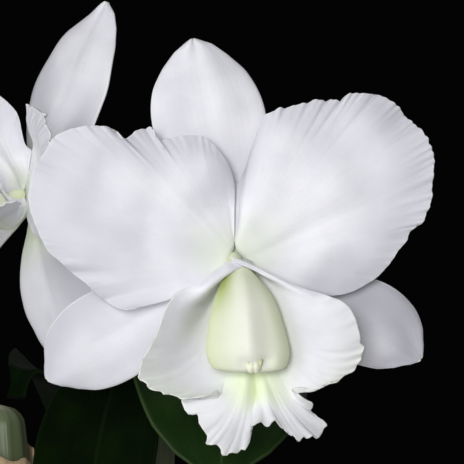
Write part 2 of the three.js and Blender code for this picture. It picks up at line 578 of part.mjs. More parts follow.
// Rhizome: the creeping stem that joins the pseudobulbs, half sunk in the bark.
const RHIZOME_LINE = [[42, 38], [34, 30], [13, 17], [-8, 2], [-29, -11], [-37, -17]];
const rhizomePoints = RHIZOME_LINE.map(([x, y]) => [x, y, RHIZOME_HEIGHT]);
const rhizomeRadius = (along) => RHIZOME_RADIUS * (0.9 + 0.1 * Math.cos(along * 6 * Math.PI));
add("rhizome", bar(rhizomePoints, rhizomeRadius, 10, 16), RHIZOME_BROWN);

// Roots: thick and corky. Two cross the pot's rim and hang outside it, and two dive into the bark.
const ROOT_RADIUS = 2.1;
const ROOTS = [
  [[-27, -22, 104], [-36, -31, 110], [-50, -41, 115.8], [-57.5, -46, 110], [-59, -48, 92], [-57, -47.5, 72]],
  [[0, -8, 104], [6, -17, 108.5], [4, -27, 110], [10, -38, 106], [13, -45, 95]],
  [[23, 12, 104], [31, 4, 108], [41, 6, 110], [49, -1, 106.5], [51, -4, 94]],
  [[24, 36, 104], [20, 49, 111], [18, 62, 116], [17, 71.4, 108], [18, 71.6, 88]],
];
const rootRadius = (along) => ROOT_RADIUS * (along > 0.9 ? 0.8 : 1);
ROOTS.forEach((line, i) => add(`root_${i + 1}`, bar(line, rootRadius, 7, 14), ROOT_GREY));

// Pot: plain thrown clay with a thick rim band and four drain holes round the middle of its floor.
const RIM_BAND = { height: 20, proud: 3 };
const FLOOR_THICKNESS = 7;
const DRAIN = { radius: 5, ring: 24, count: 4 };

function turned(outline) {
  return new THREE.LatheGeometry(outline.map(([r, z]) => new THREE.Vector2(r, z)), 28).rotateX(Math.PI / 2);
}

function pot() {
  const slope = (POT_RIM_RADIUS - RIM_BAND.proud - POT_FOOT_RADIUS) / (POT_HEIGHT - RIM_BAND.height);
  const wallAt = (z) => POT_FOOT_RADIUS + slope * z;
  const innerAt = (z) => POT_FOOT_RADIUS - POT_WALL + slope * z;
  const bandFoot = POT_HEIGHT - RIM_BAND.height;
  const profile = [
    [0, 0], [POT_FOOT_RADIUS - 2, 0], [POT_FOOT_RADIUS, 2], [wallAt(bandFoot - 1), bandFoot - 1],
    [wallAt(bandFoot) + RIM_BAND.proud - 1, bandFoot], [wallAt(bandFoot) + RIM_BAND.proud, bandFoot + 1.5],
    [POT_RIM_RADIUS, POT_HEIGHT - 2], [POT_RIM_RADIUS - 2, POT_HEIGHT],
    [innerAt(POT_HEIGHT) + 1.5, POT_HEIGHT], [innerAt(POT_HEIGHT - 2), POT_HEIGHT - 2],
    [innerAt(FLOOR_THICKNESS), FLOOR_THICKNESS], [0, FLOOR_THICKNESS],
  ];
  let body = solidOf(turned(profile));
  for (let k = 0; k < DRAIN.count; k += 1) {
    const angle = ((k + 0.5) * 2 * Math.PI) / DRAIN.count;
    const drill = new THREE.CylinderGeometry(DRAIN.radius, DRAIN.radius, 3 * FLOOR_THICKNESS, 12);
    drill.rotateX(Math.PI / 2).translate(DRAIN.ring * Math.cos(angle), DRAIN.ring * Math.sin(angle), 0);
    body = body.subtract(solidOf(drill));
  }
  return { geometry: geometryOf(body), innerAt };
}

const { geometry: potGeometry, innerAt } = pot();
add("pot", potGeometry, CLAY);

// Bark: a packed plug that fills the pot, its top covered with loose-looking chips. The rhizome and roots lie
// in plain grooves and holes in it.
const CHIP_COUNT = 26;
const CHIP = { length: 26, width: 17, height: 6 };

function barkPlug(top) {
  const low = FLOOR_THICKNESS + SEAT_GAP;
  return solidOf(turned([[0, low], [innerAt(low) - 0.6, low], [innerAt(top) - 0.6, top], [0, top]]));
}

function bark() {
  const random = randomStream(17);
  let bed = barkPlug(BARK_TOP);
  const room = innerAt(BARK_TOP) - 4;
  for (let k = 0; k < CHIP_COUNT; k += 1) {
    const distance = room * Math.sqrt((k + 0.5) / CHIP_COUNT);
    const angle = k * 2.39996 + random();
    const size = 0.8 + 0.5 * random();
    const chip = new THREE.BoxGeometry(CHIP.length * size, CHIP.width * size, CHIP.height);
    const place = chip.getAttribute("position");
    for (let i = 0; i < place.count; i += 1) {
      const lower = place.getX(i) > 0 === place.getY(i) > 0 ? 0.7 : 1;
      place.setXYZ(i, place.getX(i) * lower, place.getY(i), place.getZ(i));
    }
    chip.rotateX((random() - 0.5) * 0.9).rotateY((random() - 0.5) * 0.8).rotateZ(random() * Math.PI);
    chip.translate(distance * Math.cos(angle), distance * Math.sin(angle), BARK_TOP + 0.4 + 1.2 * random());
    bed = bed.add(solidOf(bare(chip)));
  }
  bed = bed.intersect(barkPlug(POT_HEIGHT - 1));
  bed = bed.subtract(solidOf(bar(rhizomePoints, (along) => rhizomeRadius(along) + SEAT_GAP, 10, 16)));
  for (const line of ROOTS) bed = bed.subtract(solidOf(bar(line, () => ROOT_RADIUS + SEAT_GAP, 7, 14)));
  return geometryOf(largestPiece(bed));
}

add("bark", bark(), BARK_BROWN);

export default plant;
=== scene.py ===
import json
import math
from bisect import bisect_left

import bmesh
import bpy
from mathutils import Matrix, Quaternion, Vector, noise

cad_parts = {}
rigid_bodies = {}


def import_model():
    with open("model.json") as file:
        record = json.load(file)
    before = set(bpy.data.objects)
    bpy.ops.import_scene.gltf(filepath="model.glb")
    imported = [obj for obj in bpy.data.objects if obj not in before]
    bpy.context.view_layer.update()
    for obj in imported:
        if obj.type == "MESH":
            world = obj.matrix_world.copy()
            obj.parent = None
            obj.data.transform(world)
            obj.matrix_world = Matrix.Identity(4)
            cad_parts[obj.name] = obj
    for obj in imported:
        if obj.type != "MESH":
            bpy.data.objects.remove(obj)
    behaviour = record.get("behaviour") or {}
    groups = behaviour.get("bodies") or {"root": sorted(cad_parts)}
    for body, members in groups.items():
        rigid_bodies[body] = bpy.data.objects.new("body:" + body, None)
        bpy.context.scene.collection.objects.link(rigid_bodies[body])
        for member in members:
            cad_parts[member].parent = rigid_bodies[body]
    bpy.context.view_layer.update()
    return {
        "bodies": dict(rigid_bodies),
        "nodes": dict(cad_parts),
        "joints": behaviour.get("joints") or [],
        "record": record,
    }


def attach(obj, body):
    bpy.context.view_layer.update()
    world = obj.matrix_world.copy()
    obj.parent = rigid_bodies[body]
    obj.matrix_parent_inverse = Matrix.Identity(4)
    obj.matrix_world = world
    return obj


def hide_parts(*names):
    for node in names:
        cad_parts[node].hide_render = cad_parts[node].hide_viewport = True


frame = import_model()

# Camera: a long lens level with the front bloom and 0.6 m before it, so that 116 mm of the plant
# fills the picture's width.
VIEW_WIDTH = 0.116
VIEW_DISTANCE = 0.6
VIEW_MIDDLE = Vector((0.0185, -0.058, 0.2925))
camera = bpy.data.objects.new("camera", bpy.data.cameras.new("camera"))
camera.data.lens = camera.data.sensor_width * VIEW_DISTANCE / VIEW_WIDTH
camera.location = VIEW_MIDDLE - Vector((0, VIEW_DISTANCE, 0))
camera.rotation_euler = (math.radians(90), 0, 0)
bpy.context.collection.objects.link(camera)
bpy.context.scene.camera = camera
bpy.context.scene.view_settings.view_transform = "Standard"

# Studio: a pale floor under the pot, a dark surround that still gives a dim light from all sides, and three
# big soft lamps. The main lamp stands before the plant and a little to the left, hardly above the blooms, as
# the photograph's soft shadows show.
FLOOR_SIZE = 4.4
FLOOR_DROP = 0.0003
FLOOR_TINT = (0.62, 0.62, 0.61, 1)
SURROUND_SEEN = (0.0012, 0.0012, 0.0014, 1)
SURROUND_LIGHT = (0.075, 0.077, 0.082, 1)
LAMP_AIM = Vector((0, -0.03, 0.27))
LAMPS = {
    "key_lamp": {"at": (-0.16, -1.02, 0.44), "size": 0.42, "watts": 6.6},
    "left_lamp": {"at": (-1.00, -0.42, 0.36), "size": 0.7, "watts": 4.0},
    "back_lamp": {"at": (0.25, 0.80, 1.05), "size": 0.7, "watts": 2.5},
}


def put_down(bm, name, smooth=False):
    """Turns a finished bmesh into an object that stands in the scene."""
    for face in bm.faces:
        face.smooth = smooth
    mesh = bpy.data.meshes.new(name)
    bm.to_mesh(mesh)
    bm.free()
    made = bpy.data.objects.new(name, mesh)
    bpy.context.collection.objects.link(made)
    return made


def add_node(tree, kind, sockets=(), **settings):
    """Adds a shader node. A socket given another node's output is linked, and any other holds its value."""
    made = tree.nodes.new(kind)
    for key, value in settings.items():
        setattr(made, key, value)
    for key, value in dict(sockets).items():
        if isinstance(value, bpy.types.NodeSocket):
            tree.links.new(value, made.inputs[key])
        else:
            made.inputs[key].default_value = value
    return made


def new_material(name, roughness):
    """A material with a plain shader. Returns it with its node tree and the shader."""
    material = bpy.data.materials.new(name)
    material.use_nodes = True
    shader = material.node_tree.nodes["Principled BSDF"]
    shader.inputs["Roughness"].default_value = roughness
    return material, material.node_tree, shader


bm = bmesh.new()
bmesh.ops.create_grid(bm, x_segments=1, y_segments=1, size=FLOOR_SIZE / 2)
floor = put_down(bm, "floor")
floor.location.z = -FLOOR_DROP
floor_paint, tree, shader = new_material("floor_paint", 0.8)
shader.inputs["Base Color"].default_value = FLOOR_TINT
floor.data.materials.append(floor_paint)
surround = bpy.data.worlds.new("surround")
surround.use_nodes = True
tree = surround.node_tree
seen = tree.nodes["Background"]
seen.inputs["Color"].default_value = SURROUND_SEEN
dim = add_node(tree, "ShaderNodeBackground", {"Color": SURROUND_LIGHT})
in_view = add_node(tree, "ShaderNodeLightPath").outputs["Is Camera Ray"]
either = add_node(tree, "ShaderNodeMixShader", {0: in_view, 1: dim.outputs[0], 2: seen.outputs[0]})
tree.links.new(either.outputs[0], tree.nodes["World Output"].inputs["Surface"])
bpy.context.scene.world = surround
for name, lamp in LAMPS.items():
    light = bpy.data.lights.new(name, "AREA")
    light.energy = lamp["watts"]
    light.size = lamp["size"]
    holder = bpy.data.objects.new(name, light)
    holder.location = lamp["at"]
    holder.rotation_euler = (LAMP_AIM - holder.location).to_track_quat("-Z", "Y").to_euler()
    holder.visible_camera = False
    bpy.context.collection.objects.link(holder)

# Blooms: two flowers of the same kind. Each has its own axes, right, up and out towards its viewer, in
# millimetres, and is turned by a roll, a pitch and a yaw. The side bloom is younger: its petals are narrow
# and cupped, and its lip and column still stand out of its plane. Angles are in degrees.
BLOOMS = {
    "front_bloom": {
        "at": (20, -58, 285), "roll": 0, "pitch": 0, "yaw": 0, "cup": (0, 0), "raise": 0, "sweep": 0,
        "droop": (0, 0, 0), "lift": 0, "swing": 0, "furl": 0, "lip_size": 1, "trough": (0, 0),
        "waist": ((1, 1), (1, 1)), "sepals": (1, 0.82, 0.85), "broad": (0, 0, 0),
    },
    "side_bloom": {
        "at": (-35, -8, 301), "roll": -27, "pitch": -4, "yaw": -55, "cup": (27, 37), "raise": 4, "sweep": 9,
        "droop": (0, -18, 2), "lift": 58, "swing": 6, "furl": 48, "lip_size": 0.92, "trough": (0.01, 0),
        "waist": ((0.8, 0.75), (0.5, 0.8)), "sepals": (1, 0.92, 0.88), "broad": (0.9, 1, 0),
    },
}
MILLIMETRES = Matrix.Scale(0.001, 4)


def bloom_place(bloom):
    """The matrix from a bloom's own millimetres to the plant's metres."""
    turn = Matrix.Rotation(math.radians(bloom["yaw"]), 4, "Z")
    turn = turn @ Matrix.Rotation(math.radians(90 + bloom["pitch"]), 4, "X")
    turn = turn @ Matrix.Rotation(math.radians(bloom["roll"]), 4, "Z")
    return MILLIMETRES @ Matrix.Translation(bloom["at"]) @ turn


# Flower tissue: the look that petals, sepals and lips share, a soft white with faint veins that fan out along
# the blade, faint clouding and a skin of tiny cells that catches the light.
CLOUD_TONES = ((0.790, 0.790, 0.850), (0.905, 0.905, 0.950))
VEIN_TONE = (0.72, 0.73, 0.79)


def fade(tree, value, low, high):
    """A smooth mask that runs from 0 at low to 1 at high."""
    span = {"Value": value, "From Min": low, "From Max": high}
    return add_node(tree, "ShaderNodeMapRange", span, interpolation_type="SMOOTHSTEP").outputs["Result"]


def maths(tree, how, *values, held=False):
    """One step of arithmetic on numbers or other nodes' outputs, held between 0 and 1 if asked."""
    return add_node(tree, "ShaderNodeMath", dict(enumerate(values)), operation=how, use_clamp=held).outputs[0]


def times(tree, mask, *shares):
    """A mask multiplied by other masks or numbers."""
    for share in shares:
        mask = maths(tree, "MULTIPLY", mask, share, held=True)
    return mask


def grain(tree, scale, detail, roughness=0.5):
    """Even noise through a piece's own space."""
    where = add_node(tree, "ShaderNodeTexCoord").outputs["Object"]
    sockets = {"Vector": where, "Scale": scale, "Detail": detail, "Roughness": roughness}
    return add_node(tree, "ShaderNodeTexNoise", sockets).outputs["Fac"]


def blend_colour(tree, share, first, second):
    """Mixes two colours by a share. Each is (red, green, blue) or another node's output."""
    pair = [c if isinstance(c, bpy.types.NodeSocket) else (*c, 1) for c in (first, second)]
    return add_node(tree, "ShaderNodeMix", {0: share, 6: pair[0], 7: pair[1]}, data_type="RGBA").outputs[2]


def tinted(tree, colour, *tints):
    """Lays tints over a colour one after another, each as (share, colour)."""
    for share, tint in tints:
        colour = blend_colour(tree, share, colour, tint)
    return colour


def give_look(tree, shader, colour, height, strength, distance):
    """Links a colour and a relief to a material's shader."""
    tree.links.new(colour, shader.inputs["Base Color"])
    bump = add_node(tree, "ShaderNodeBump", {"Strength": strength, "Distance": distance, "Height": height})
    tree.links.new(bump.outputs[0], shader.inputs["Normal"])


def let_light_in(shader, share, depth, radius=(1, 0.2, 0.1)):
    """Lets light pass under a living skin, to a depth in metres."""
    shader.inputs["Subsurface Weight"].default_value = share
    shader.inputs["Subsurface Radius"].default_value = radius
    shader.inputs["Subsurface Scale"].default_value = depth


tissue = bpy.data.node_groups.new("flower_tissue", "ShaderNodeTree")
for name, way in (("Veins", "INPUT"), ("Vein Mask", "OUTPUT"), ("Clouding", "OUTPUT"), ("Height", "OUTPUT")):
    tissue.interface.new_socket(name, in_out=way, socket_type="NodeSocketFloat")
tissue_in = tissue.nodes.new("NodeGroupInput")
tissue_out = tissue.nodes.new("NodeGroupOutput")
vein_wave = add_node(
    tissue,
    "ShaderNodeTexWave",
    {
        "Vector": add_node(tissue, "ShaderNodeUVMap").outputs[0], "Scale": tissue_in.outputs["Veins"],
        "Distortion": 2.6, "Detail": 3.0, "Detail Scale": 0.8,
    },
)
vein_line = fade(tissue, vein_wave.outputs["Fac"], 0.72, 1.0)
cells = maths(tissue, "MULTIPLY_ADD", grain(tissue, 1500.0, 2.0), 0.3, grain(tissue, 240.0, 2.0))
tissue.links.new(vein_line, tissue_out.inputs["Vein Mask"])
tissue.links.new(fade(tissue, grain(tissue, 70.0, 3.0), 0.3, 0.7), tissue_out.inputs["Clouding"])
tissue.links.new(maths(tissue, "MULTIPLY_ADD", vein_line, -0.06, cells), tissue_out.inputs["Height"])


def flower_material(name, veins, colouring):
    """White flower tissue. colouring(tree, reach, across, colour) may tint it and returns the colour."""
    material, tree, shader = new_material(name, 0.55)
    shared = add_node(tree, "ShaderNodeGroup", {}, node_tree=tissue)
    shared.inputs["Veins"].default_value = veins
    clouded = blend_colour(tree, shared.outputs["Clouding"], *CLOUD_TONES)
    veined = blend_colour(tree, times(tree, shared.outputs["Vein Mask"], 0.08), clouded, VEIN_TONE)
    parts = add_node(tree, "ShaderNodeSeparateXYZ", {0: add_node(tree, "ShaderNodeUVMap").outputs[0]})
    colour = colouring(tree, parts.outputs["Y"], parts.outputs["X"], veined)
    give_look(tree, shader, colour, shared.outputs["Height"], 0.22, 0.0004)
    let_light_in(shader, 0.14, 0.0012, (1, 0.97, 0.95))
    shader.inputs["Sheen Weight"].default_value = 0.05
    shader.inputs["Specular IOR Level"].default_value = 0.35
    return material


# Petals: two broad round blades on each bloom, grown from a narrow claw beside the lip. They are as thin as
# card, pleated and crisped along the rim. Folds and hollows are (place, width, height, reach) and (place,
# width, depth), counted in points of the margin. Crisping is (place, height).
PETAL_THICK = 0.8
PETAL_RIM = 0.4
PETAL_GRID = (40, 400)
PETAL_CROWD = 1.5
PETAL_VEINS = 9.0
PETAL_RISE = 5.2
CLAW_OUT = 3.2
MARGIN_OUT = 1.6
CURL_START = 7
CURL_LENGTH = 16
PETALS = {
    "right_petal": {
        "claw": ((-0.7, 4.1), (2.3, -1.2)),
        "margin": (
            (-2.2, 15.5), (1.75, 23), (3, 26.75), (4.25, 30.5), (5.25, 33.5), (6.5, 36.25), (8, 36.9),
            (10.5, 38.25), (12, 38.1), (13.5, 38.75), (14.75, 38.9), (16, 39.25), (17.25, 39.4),
            (18.25, 39.75), (19.25, 40.25), (20.5, 40.25), (22, 40), (23.25, 40.25), (24.5, 40.25),
            (25.5, 39.75), (26, 40.5), (27, 41.25), (28, 41.75), (30, 41.75), (32, 41.75), (34, 41.5),
            (35.75, 41), (37.25, 40.25), (38.75, 39.25), (40, 38.25), (40.75, 37), (41.75, 35.75),
            (43.25, 34.5), (44.75, 33.25), (46, 31.75), (46.9, 30.5), (47.25, 29.25), (47.9, 28),
            (48.25, 26.25), (48.5, 25), (48.25, 23), (48.1, 20.5), (48, 18), (47.9, 16.25), (47.5, 14.25),
            (46.75, 12.75), (46.25, 10.75), (45.5, 9.75), (44, 8.75), (42.75, 7.75), (42, 6), (41, 4.5),
            (39.75, 3), (38.5, 1), (37, -1), (35, -3.25), (33, -4.75), (31, -6), (28.5, -7.25), (26, -8),
            (23, -8.25), (20.5, -7.9), (16, -6.8),
        ),
        "folds": (
            (0, 2.2, -0.6, 0.6), (8, 0.7, -0.8, 9), (12.5, 0.7, -0.8, 9), (16, 0.7, -0.8, 9),
            (19, 0.7, -1.6, 10), (21.5, 1.2, 1.2, 9), (25, 0.5, -2.4, 7), (30, 3, -1.0, 5),
            (42.6, 0.5, 0.6, 8), (46.5, 0.6, 0.8, 8), (53, 2.4, 1.0, 3),
        ),
        "hollow": (41, 5, 1.3),
        "crisp": ((0, 0), (3, 0.4), (9, 1.0), (17, 1.2), (31, 0.9), (45, 1.1), (53, 0.5), (62, 0.1)),
        "heading": 31,
        "own": 0,
        "raised": 1,
        "seed": 3.7,
    },
    "left_petal": {
        "claw": ((-2.3, -1.2), (-1.0, 4.1)),
        "margin": (
            (-24.5, -11), (-25.75, -11.5), (-27.75, -11.75), (-29.5, -11.5), (-31.25, -10.75),
            (-32.75, -9.75), (-34.25, -8.5), (-36.25, -6.5), (-37.5, -5.5), (-39.5, -4), (-41.5, -2.25),
            (-43, -0.75), (-44.5, 0.5), (-45.75, 1.5), (-47, 2.75), (-48, 4.5), (-49, 6.5), (-49.75, 8.5),
            (-50.5, 10.5), (-51.25, 12.5), (-51.6, 14.25), (-51.75, 16.25), (-51.5, 18.5), (-51, 21.25),
            (-50.25, 23.5), (-49.5, 25), (-47.75, 27.5), (-46.5, 29.75), (-45.5, 31), (-44, 32),
            (-41.5, 33), (-38.25, 33.6), (-36, 33.75), (-34.5, 33.75), (-32.5, 33.5), (-31.5, 33),
            (-30.25, 32.5), (-29.5, 31.75), (-28.75, 30.75), (-28, 30.5), (-27.25, 30.75), (-26.5, 31.5),
            (-25.5, 32.5), (-24.25, 32.9), (-23, 33), (-21.75, 33.6), (-21, 32.75), (-20.5, 31),
            (-19.5, 30), (-18, 30.5), (-16.5, 30.75), (-13.25, 31.25), (-9.5, 31.25), (-8.75, 31), (-7, 30),
            (-4.5, 27.25), (-2.5, 24.25), (-1.3, 21), (-0.8, 18),
        ),
        "folds": (
            (5.2, 0.9, -1.8, 5), (1.3, 2, 2.4, 3), (7.3, 1, 1.6, 4), (9.7, 0.8, -1.6, 6), (11.3, 1, 1.2, 5),
            (35.4, 1, -1.6, 9), (38, 1, 2.0, 10), (44.4, 2.2, -1.6, 6), (47, 1, 1.2, 9), (50.3, 2, -1.3, 7),
        ),
        "hollow": (24, 5, 0.8),
        "crisp": ((0, 0.1), (2, 0.3), (14, 0.35), (24, 0.25), (34, 0.7), (46, 0.6), (54, 0.3), (58, 0)),
        "heading": 157,
        "own": 1,
        "raised": -1,
        "seed": 11.2,
    },
}


def reader(rows):
    """One smooth curve through rows of (share, numbers), which is then read at any share."""
    shares = [row[0] for row in rows]
    spots = [Vector(row[1:]) for row in rows]
    spots = [2 * spots[0] - spots[1], *spots, 2 * spots[-1] - spots[-2]]

    def read(share):
        i = min(max(bisect_left(shares, share) - 1, 0), len(shares) - 2)
        f = min(max((share - shares[i]) / (shares[i + 1] - shares[i]), 0), 1)
        a, b, c, d = spots[i : i + 4]
        return b + 0.5 * f * (c - a + f * (2 * a - 5 * b + 4 * c - d + f * (3 * b - 3 * c + d - a)))

    return read


def even_reader(points):
    """The same for points that stand at even shares."""
    return reader([(i / (len(points) - 1), *p) for i, p in enumerate(points)])


def settled(read, width, count=160):
    """The same curve with its small waves averaged out over a width of its share on either side."""
    spots = []
    for i in range(count + 1):
        share = i / count
        reach = min(width, share, 1 - share)
        spots.append(sum((read(share + reach * k / 4) for k in range(-4, 5)), Vector((0, 0, 0))) / 9)
    return even_reader(spots)


def step_between(low, high, value):
    """Rises smoothly from 0 at low to 1 at high."""
    f = min(max((value - low) / (high - low), 0), 1)
    return f * f * (3 - 2 * f)


def hump(value, middle, width):
    """A smooth hill, 1 at its middle."""
    return math.exp(-(((value - middle) / width) ** 2))


def direction(heading):
    """The direction of a heading in the bloom's plane, in degrees from its right."""
    return Vector((math.cos(math.radians(heading)), math.sin(math.radians(heading)), 0))


def curl(p, heading, angle):
    """Bends a point outwards by up to an angle, past a start distance along a heading in the plane."""
    way = direction(heading)
    distance = p.dot(way) - CURL_START
    if angle == 0 or distance <= 0:
        return p
    full = math.radians(angle)
    radius = CURL_LENGTH / full
    turned = full * min(1, distance / CURL_LENGTH)
    beyond = max(0, distance - CURL_LENGTH)
    forward = radius * math.sin(turned) + beyond * math.cos(turned) - p.z * math.sin(turned)
    outward = radius * (1 - math.cos(turned)) + beyond * math.sin(turned) + p.z * (math.cos(turned) - 1)
    return p + way * (forward - distance) + Vector((0, 0, outward))


def narrow(p, heading, waist, trough):
    """Narrows a point towards a petal's middle line, most of all a short way past its claw, and brings the
    petal's upper half forward."""
    way = direction(heading)
    side = Vector((-way.y, way.x, 0))
    share = 1 - (1 - waist[0]) * step_between(2, 12, p.dot(way))
    share += (waist[1] - waist[0]) * step_between(10, 36, p.dot(way))
    p = p + side * p.dot(side) * (share - 1)
    p.z += trough * max(0, p.dot(side)) ** 2
    return p


def living_sheet(name, surface, grid, place, thick, rim, crowd=1.0):
    """A fine grid of (rows, columns) laid along surface(reach, across), with its rows crowded towards the
    rim. It is given a thickness that thins to its rim."""
    bm = bmesh.new()
    bm.loops.layers.uv.new("UVMap")
    bmesh.ops.create_grid(bm, x_segments=grid[1], y_segments=grid[0], size=0.5, calc_uvs=True)
    layer = bm.verts.layers.deform.verify()
    for vert in bm.verts:
        across, reach = vert.co.x + 0.5, 1 - (0.5 - vert.co.y) ** crowd
        inside = min(6 * (1 - reach), 14 * across, 14 * (1 - across))
        vert[layer][0] = step_between(0, 1, inside)
        vert.co = place @ surface(reach, across)
    piece = put_down(bm, name, smooth=True)
    piece.vertex_groups.new(name="body")
    skin = piece.modifiers.new("thickness", "SOLIDIFY")
    skin.thickness = thick / 1000
    skin.offset = 0
    skin.vertex_group = "body"
    skin.thickness_vertex_group = rim / thick
    return piece


def petal_surface(shape, bloom):
    start, end = (Vector((*corner, CLAW_OUT)) for corner in shape["claw"])
    outline = even_reader([(*spot, MARGIN_OUT) for spot in shape["margin"]])
    plain = settled(outline, 0.06)
    last = len(shape["margin"]) - 1
    crisp = reader([(place / last, height, 0) for place, height in shape["crisp"]])
    dent_at, dent_width, dent_depth = shape["hollow"]
    raising = Matrix.Rotation(math.radians(shape["raised"] * bloom["raise"]), 3, "Z")
    waist = bloom["waist"][shape["own"]]
    tame = waist[0]

    def surface(reach, along):
        rim, even_rim = outline(along), plain(along)
        foot = start.lerp(end, along)
        p = foot.lerp(even_rim, reach) + (rim - even_rim) * reach**5
        rise = PETAL_RISE * (1 - (0.75 - 0.35 * shape["own"]) * hump(along, shape["own"], 0.1))
        p.z += rise * math.sin(reach * math.pi * 0.6) * (0.4 + 0.6 * step_between(-7, 7, p.y))
        for place, width, height, power in shape["folds"]:
            p.z += 0.7 * tame * height * hump(along * last, place, width) * reach ** (power + 3)
        p.z -= dent_depth * hump(along * last, dent_at, dent_width) * math.sin(math.pi * reach**0.8) ** 2
        billow = noise.noise(Vector((p.x * 0.085, p.y * 0.085, shape["seed"])))
        p.z += 1.6 * tame * billow * step_between(0.1, 0.5, reach)
        wave = noise.noise(Vector((rim.x * 0.33, rim.y * 0.33, shape["seed"] + reach * 0.8)))
        fine = noise.noise(Vector((rim.x * 0.85, rim.y * 0.85, shape["seed"] + 5 + reach)))
        p.z += tame * crisp(along).x * (0.75 * reach**10 * wave + 0.7 * reach**18 * fine)
        p.y -= 1.7 * hump(along, 1 - shape["own"], 0.035) * math.sin(math.pi * reach) * tame
        p += (rim - foot).normalized() * reach**14 * 0.4 * tame * crisp(along).x * fine
        p = narrow(p, shape["heading"], waist, bloom["trough"][shape["own"]])
        return raising @ curl(p, shape["heading"], bloom["cup"][shape["own"]])

    return surface


def distance_from(tree, value, middle):
    """How far a value lies from a middle one, on either side."""
    return maths(tree, "ABSOLUTE", maths(tree, "SUBTRACT", value, middle))


def band(tree, value, middle, half):
    """A smooth mask that is 1 at a middle value and 0 beyond half a width on either side."""
    return fade(tree, distance_from(tree, value, middle), half, 0.0)


def petal_colouring(tree, reach, across, colour):
    """Painted shade makes it greyer outwards and duller in the upper half; greenish at the claw; a painted
    highlight makes its rim pale.
    """
    return tinted(
        tree,
        colour,
        # painted shade: greyer outwards, where the blade curves away from the light
        (times(tree, fade(tree, reach, 0.25, 0.95), 0.85), (0.66, 0.66, 0.72)),
        # painted shade: a duller grey patch in the upper half
        (times(tree, band(tree, across, 0.72, 0.24), band(tree, reach, 0.78, 0.40), 0.4), (0.56, 0.56, 0.62)),
        (times(tree, fade(tree, reach, 0.26, 0.0), 0.6), (0.76, 0.82, 0.64)),
        # painted highlight: a pale line along the rim
        (times(tree, fade(tree, reach, 0.95, 1.0), 0.4), (0.95, 0.95, 0.96)),
    )


petal_material = flower_material("petal", PETAL_VEINS, petal_colouring)
for bloom_name, bloom in BLOOMS.items():
    place = bloom_place(bloom)
    for petal_name, shape in PETALS.items():
        node = f"{bloom_name}_{petal_name}"
        surface = petal_surface(shape, bloom)
        piece = living_sheet(f"{node}_blade", surface, PETAL_GRID, place, PETAL_THICK, PETAL_RIM, PETAL_CROWD)
        piece.data.materials.append(petal_material)
        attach(piece, "root")
        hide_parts(node)

# Sepals: three pointed blades behind the petals of each bloom, plain at the rim, with a low keel along the
# back, faint lengthwise veins and a green tip. A trim is (place along, the width's share on either side) and
# shade is painted shade (depth, where across it starts, where it is full), past 1 for none; its depth also
# greys the blade outwards.
SEPAL_EDGE_BACK = 1.6
SEPAL_VEINS = 5.0
SEPAL_GRID = (70, 40)
SEPAL_WIDTHS = reader(
    (
        (0, 3.6, 0), (0.12, 7.2, 0), (0.3, 11.4, 0), (0.5, 14, 0), (0.63, 14.3, 0), (0.76, 12.6, 0),
        (0.87, 9, 0), (0.95, 5, 0), (1, 0.4, 0),
    )
)
SEPALS = {
    "dorsal_sepal": {
        "line": ((0, 4.5, 0), (-2.8, 18, 0.4), (-6.2, 32, 0), (-9, 45, -1.4), (-11.5, 56, -3.4)),
        "trim": (
            (0, 1, 1), (0.5, 1, 0.98), (0.63, 1, 0.95), (0.76, 1, 0.9), (0.87, 1, 0.86), (0.95, 1, 0.9),
            (1, 1, 1),
        ),
        "width": 0,
        "heading": 102,
        "shade": (0.3, 2, 3),
    },
    "right_sepal": {
        "line": ((4, -2.4, -0.2), (16, -8.4, 0), (29, -14.6, -0.6), (39, -19.6, -1.6), (46, -24.4, -3)),
        "trim": (
            (0, 1, 1), (0.4, 1, 1), (0.5, 1, 0.9), (0.63, 0.98, 0.81), (0.76, 0.93, 0.79),
            (0.87, 0.88, 0.78), (0.95, 0.8, 0.72), (1, 1, 1),
        ),
        "width": 1,
        "heading": -26,
        "shade": (1.1, 0.7, 0.2),
    },
    "left_sepal": {
        "line": ((-4, -2.4, -0.2), (-17, -10, 0), (-30, -17.4, -0.6), (-40.8, -23.8, -1.6), (-48, -29.6, -3)),
        "trim": (
            (0, 1, 1), (0.4, 1, 1), (0.63, 0.95, 0.98), (0.76, 0.92, 0.93), (0.87, 0.9, 0.84),
            (0.95, 0.84, 0.72), (1, 1, 1),
        ),
        "width": 2,
        "heading": 211,
        "shade": (0.8, 0.5, 0.95),
    },
}


def sepal_surface(shape, bloom):
    middle = even_reader(shape["line"])
    droop = Matrix.Rotation(math.radians(bloom["droop"][shape["width"]]), 3, "Z")
    share, broad = bloom["sepals"][shape["width"]], bloom["broad"][shape["width"]]
    trim = reader(shape["trim"])

    def surface(step, across):
        along = math.sin(step * math.pi / 2)
        p = middle(along)
        ahead = middle(min(1, along + 0.01)) - middle(max(0, along - 0.01))
        side = Vector((ahead.y, -ahead.x, 0)).normalized()
        t = across * 2 - 1
        half = SEPAL_WIDTHS(along).x * share * (1 + broad * max(0, 0.8 - along))
        half *= trim(along)[0 if t < 0 else 1]
        ripple = noise.noise(Vector((along * 5, t * 1.5, shape["heading"])))
        p += side * t * half
        p.z -= SEPAL_EDGE_BACK * t * t * min(1, half / 8)
        p.z += 0.9 * ripple * min(1, along * 2) - 0.35 * hump(t, 0, 0.12) * (1 - along)
        return droop @ curl(p, shape["heading"], -bloom["sweep"])

    return surface


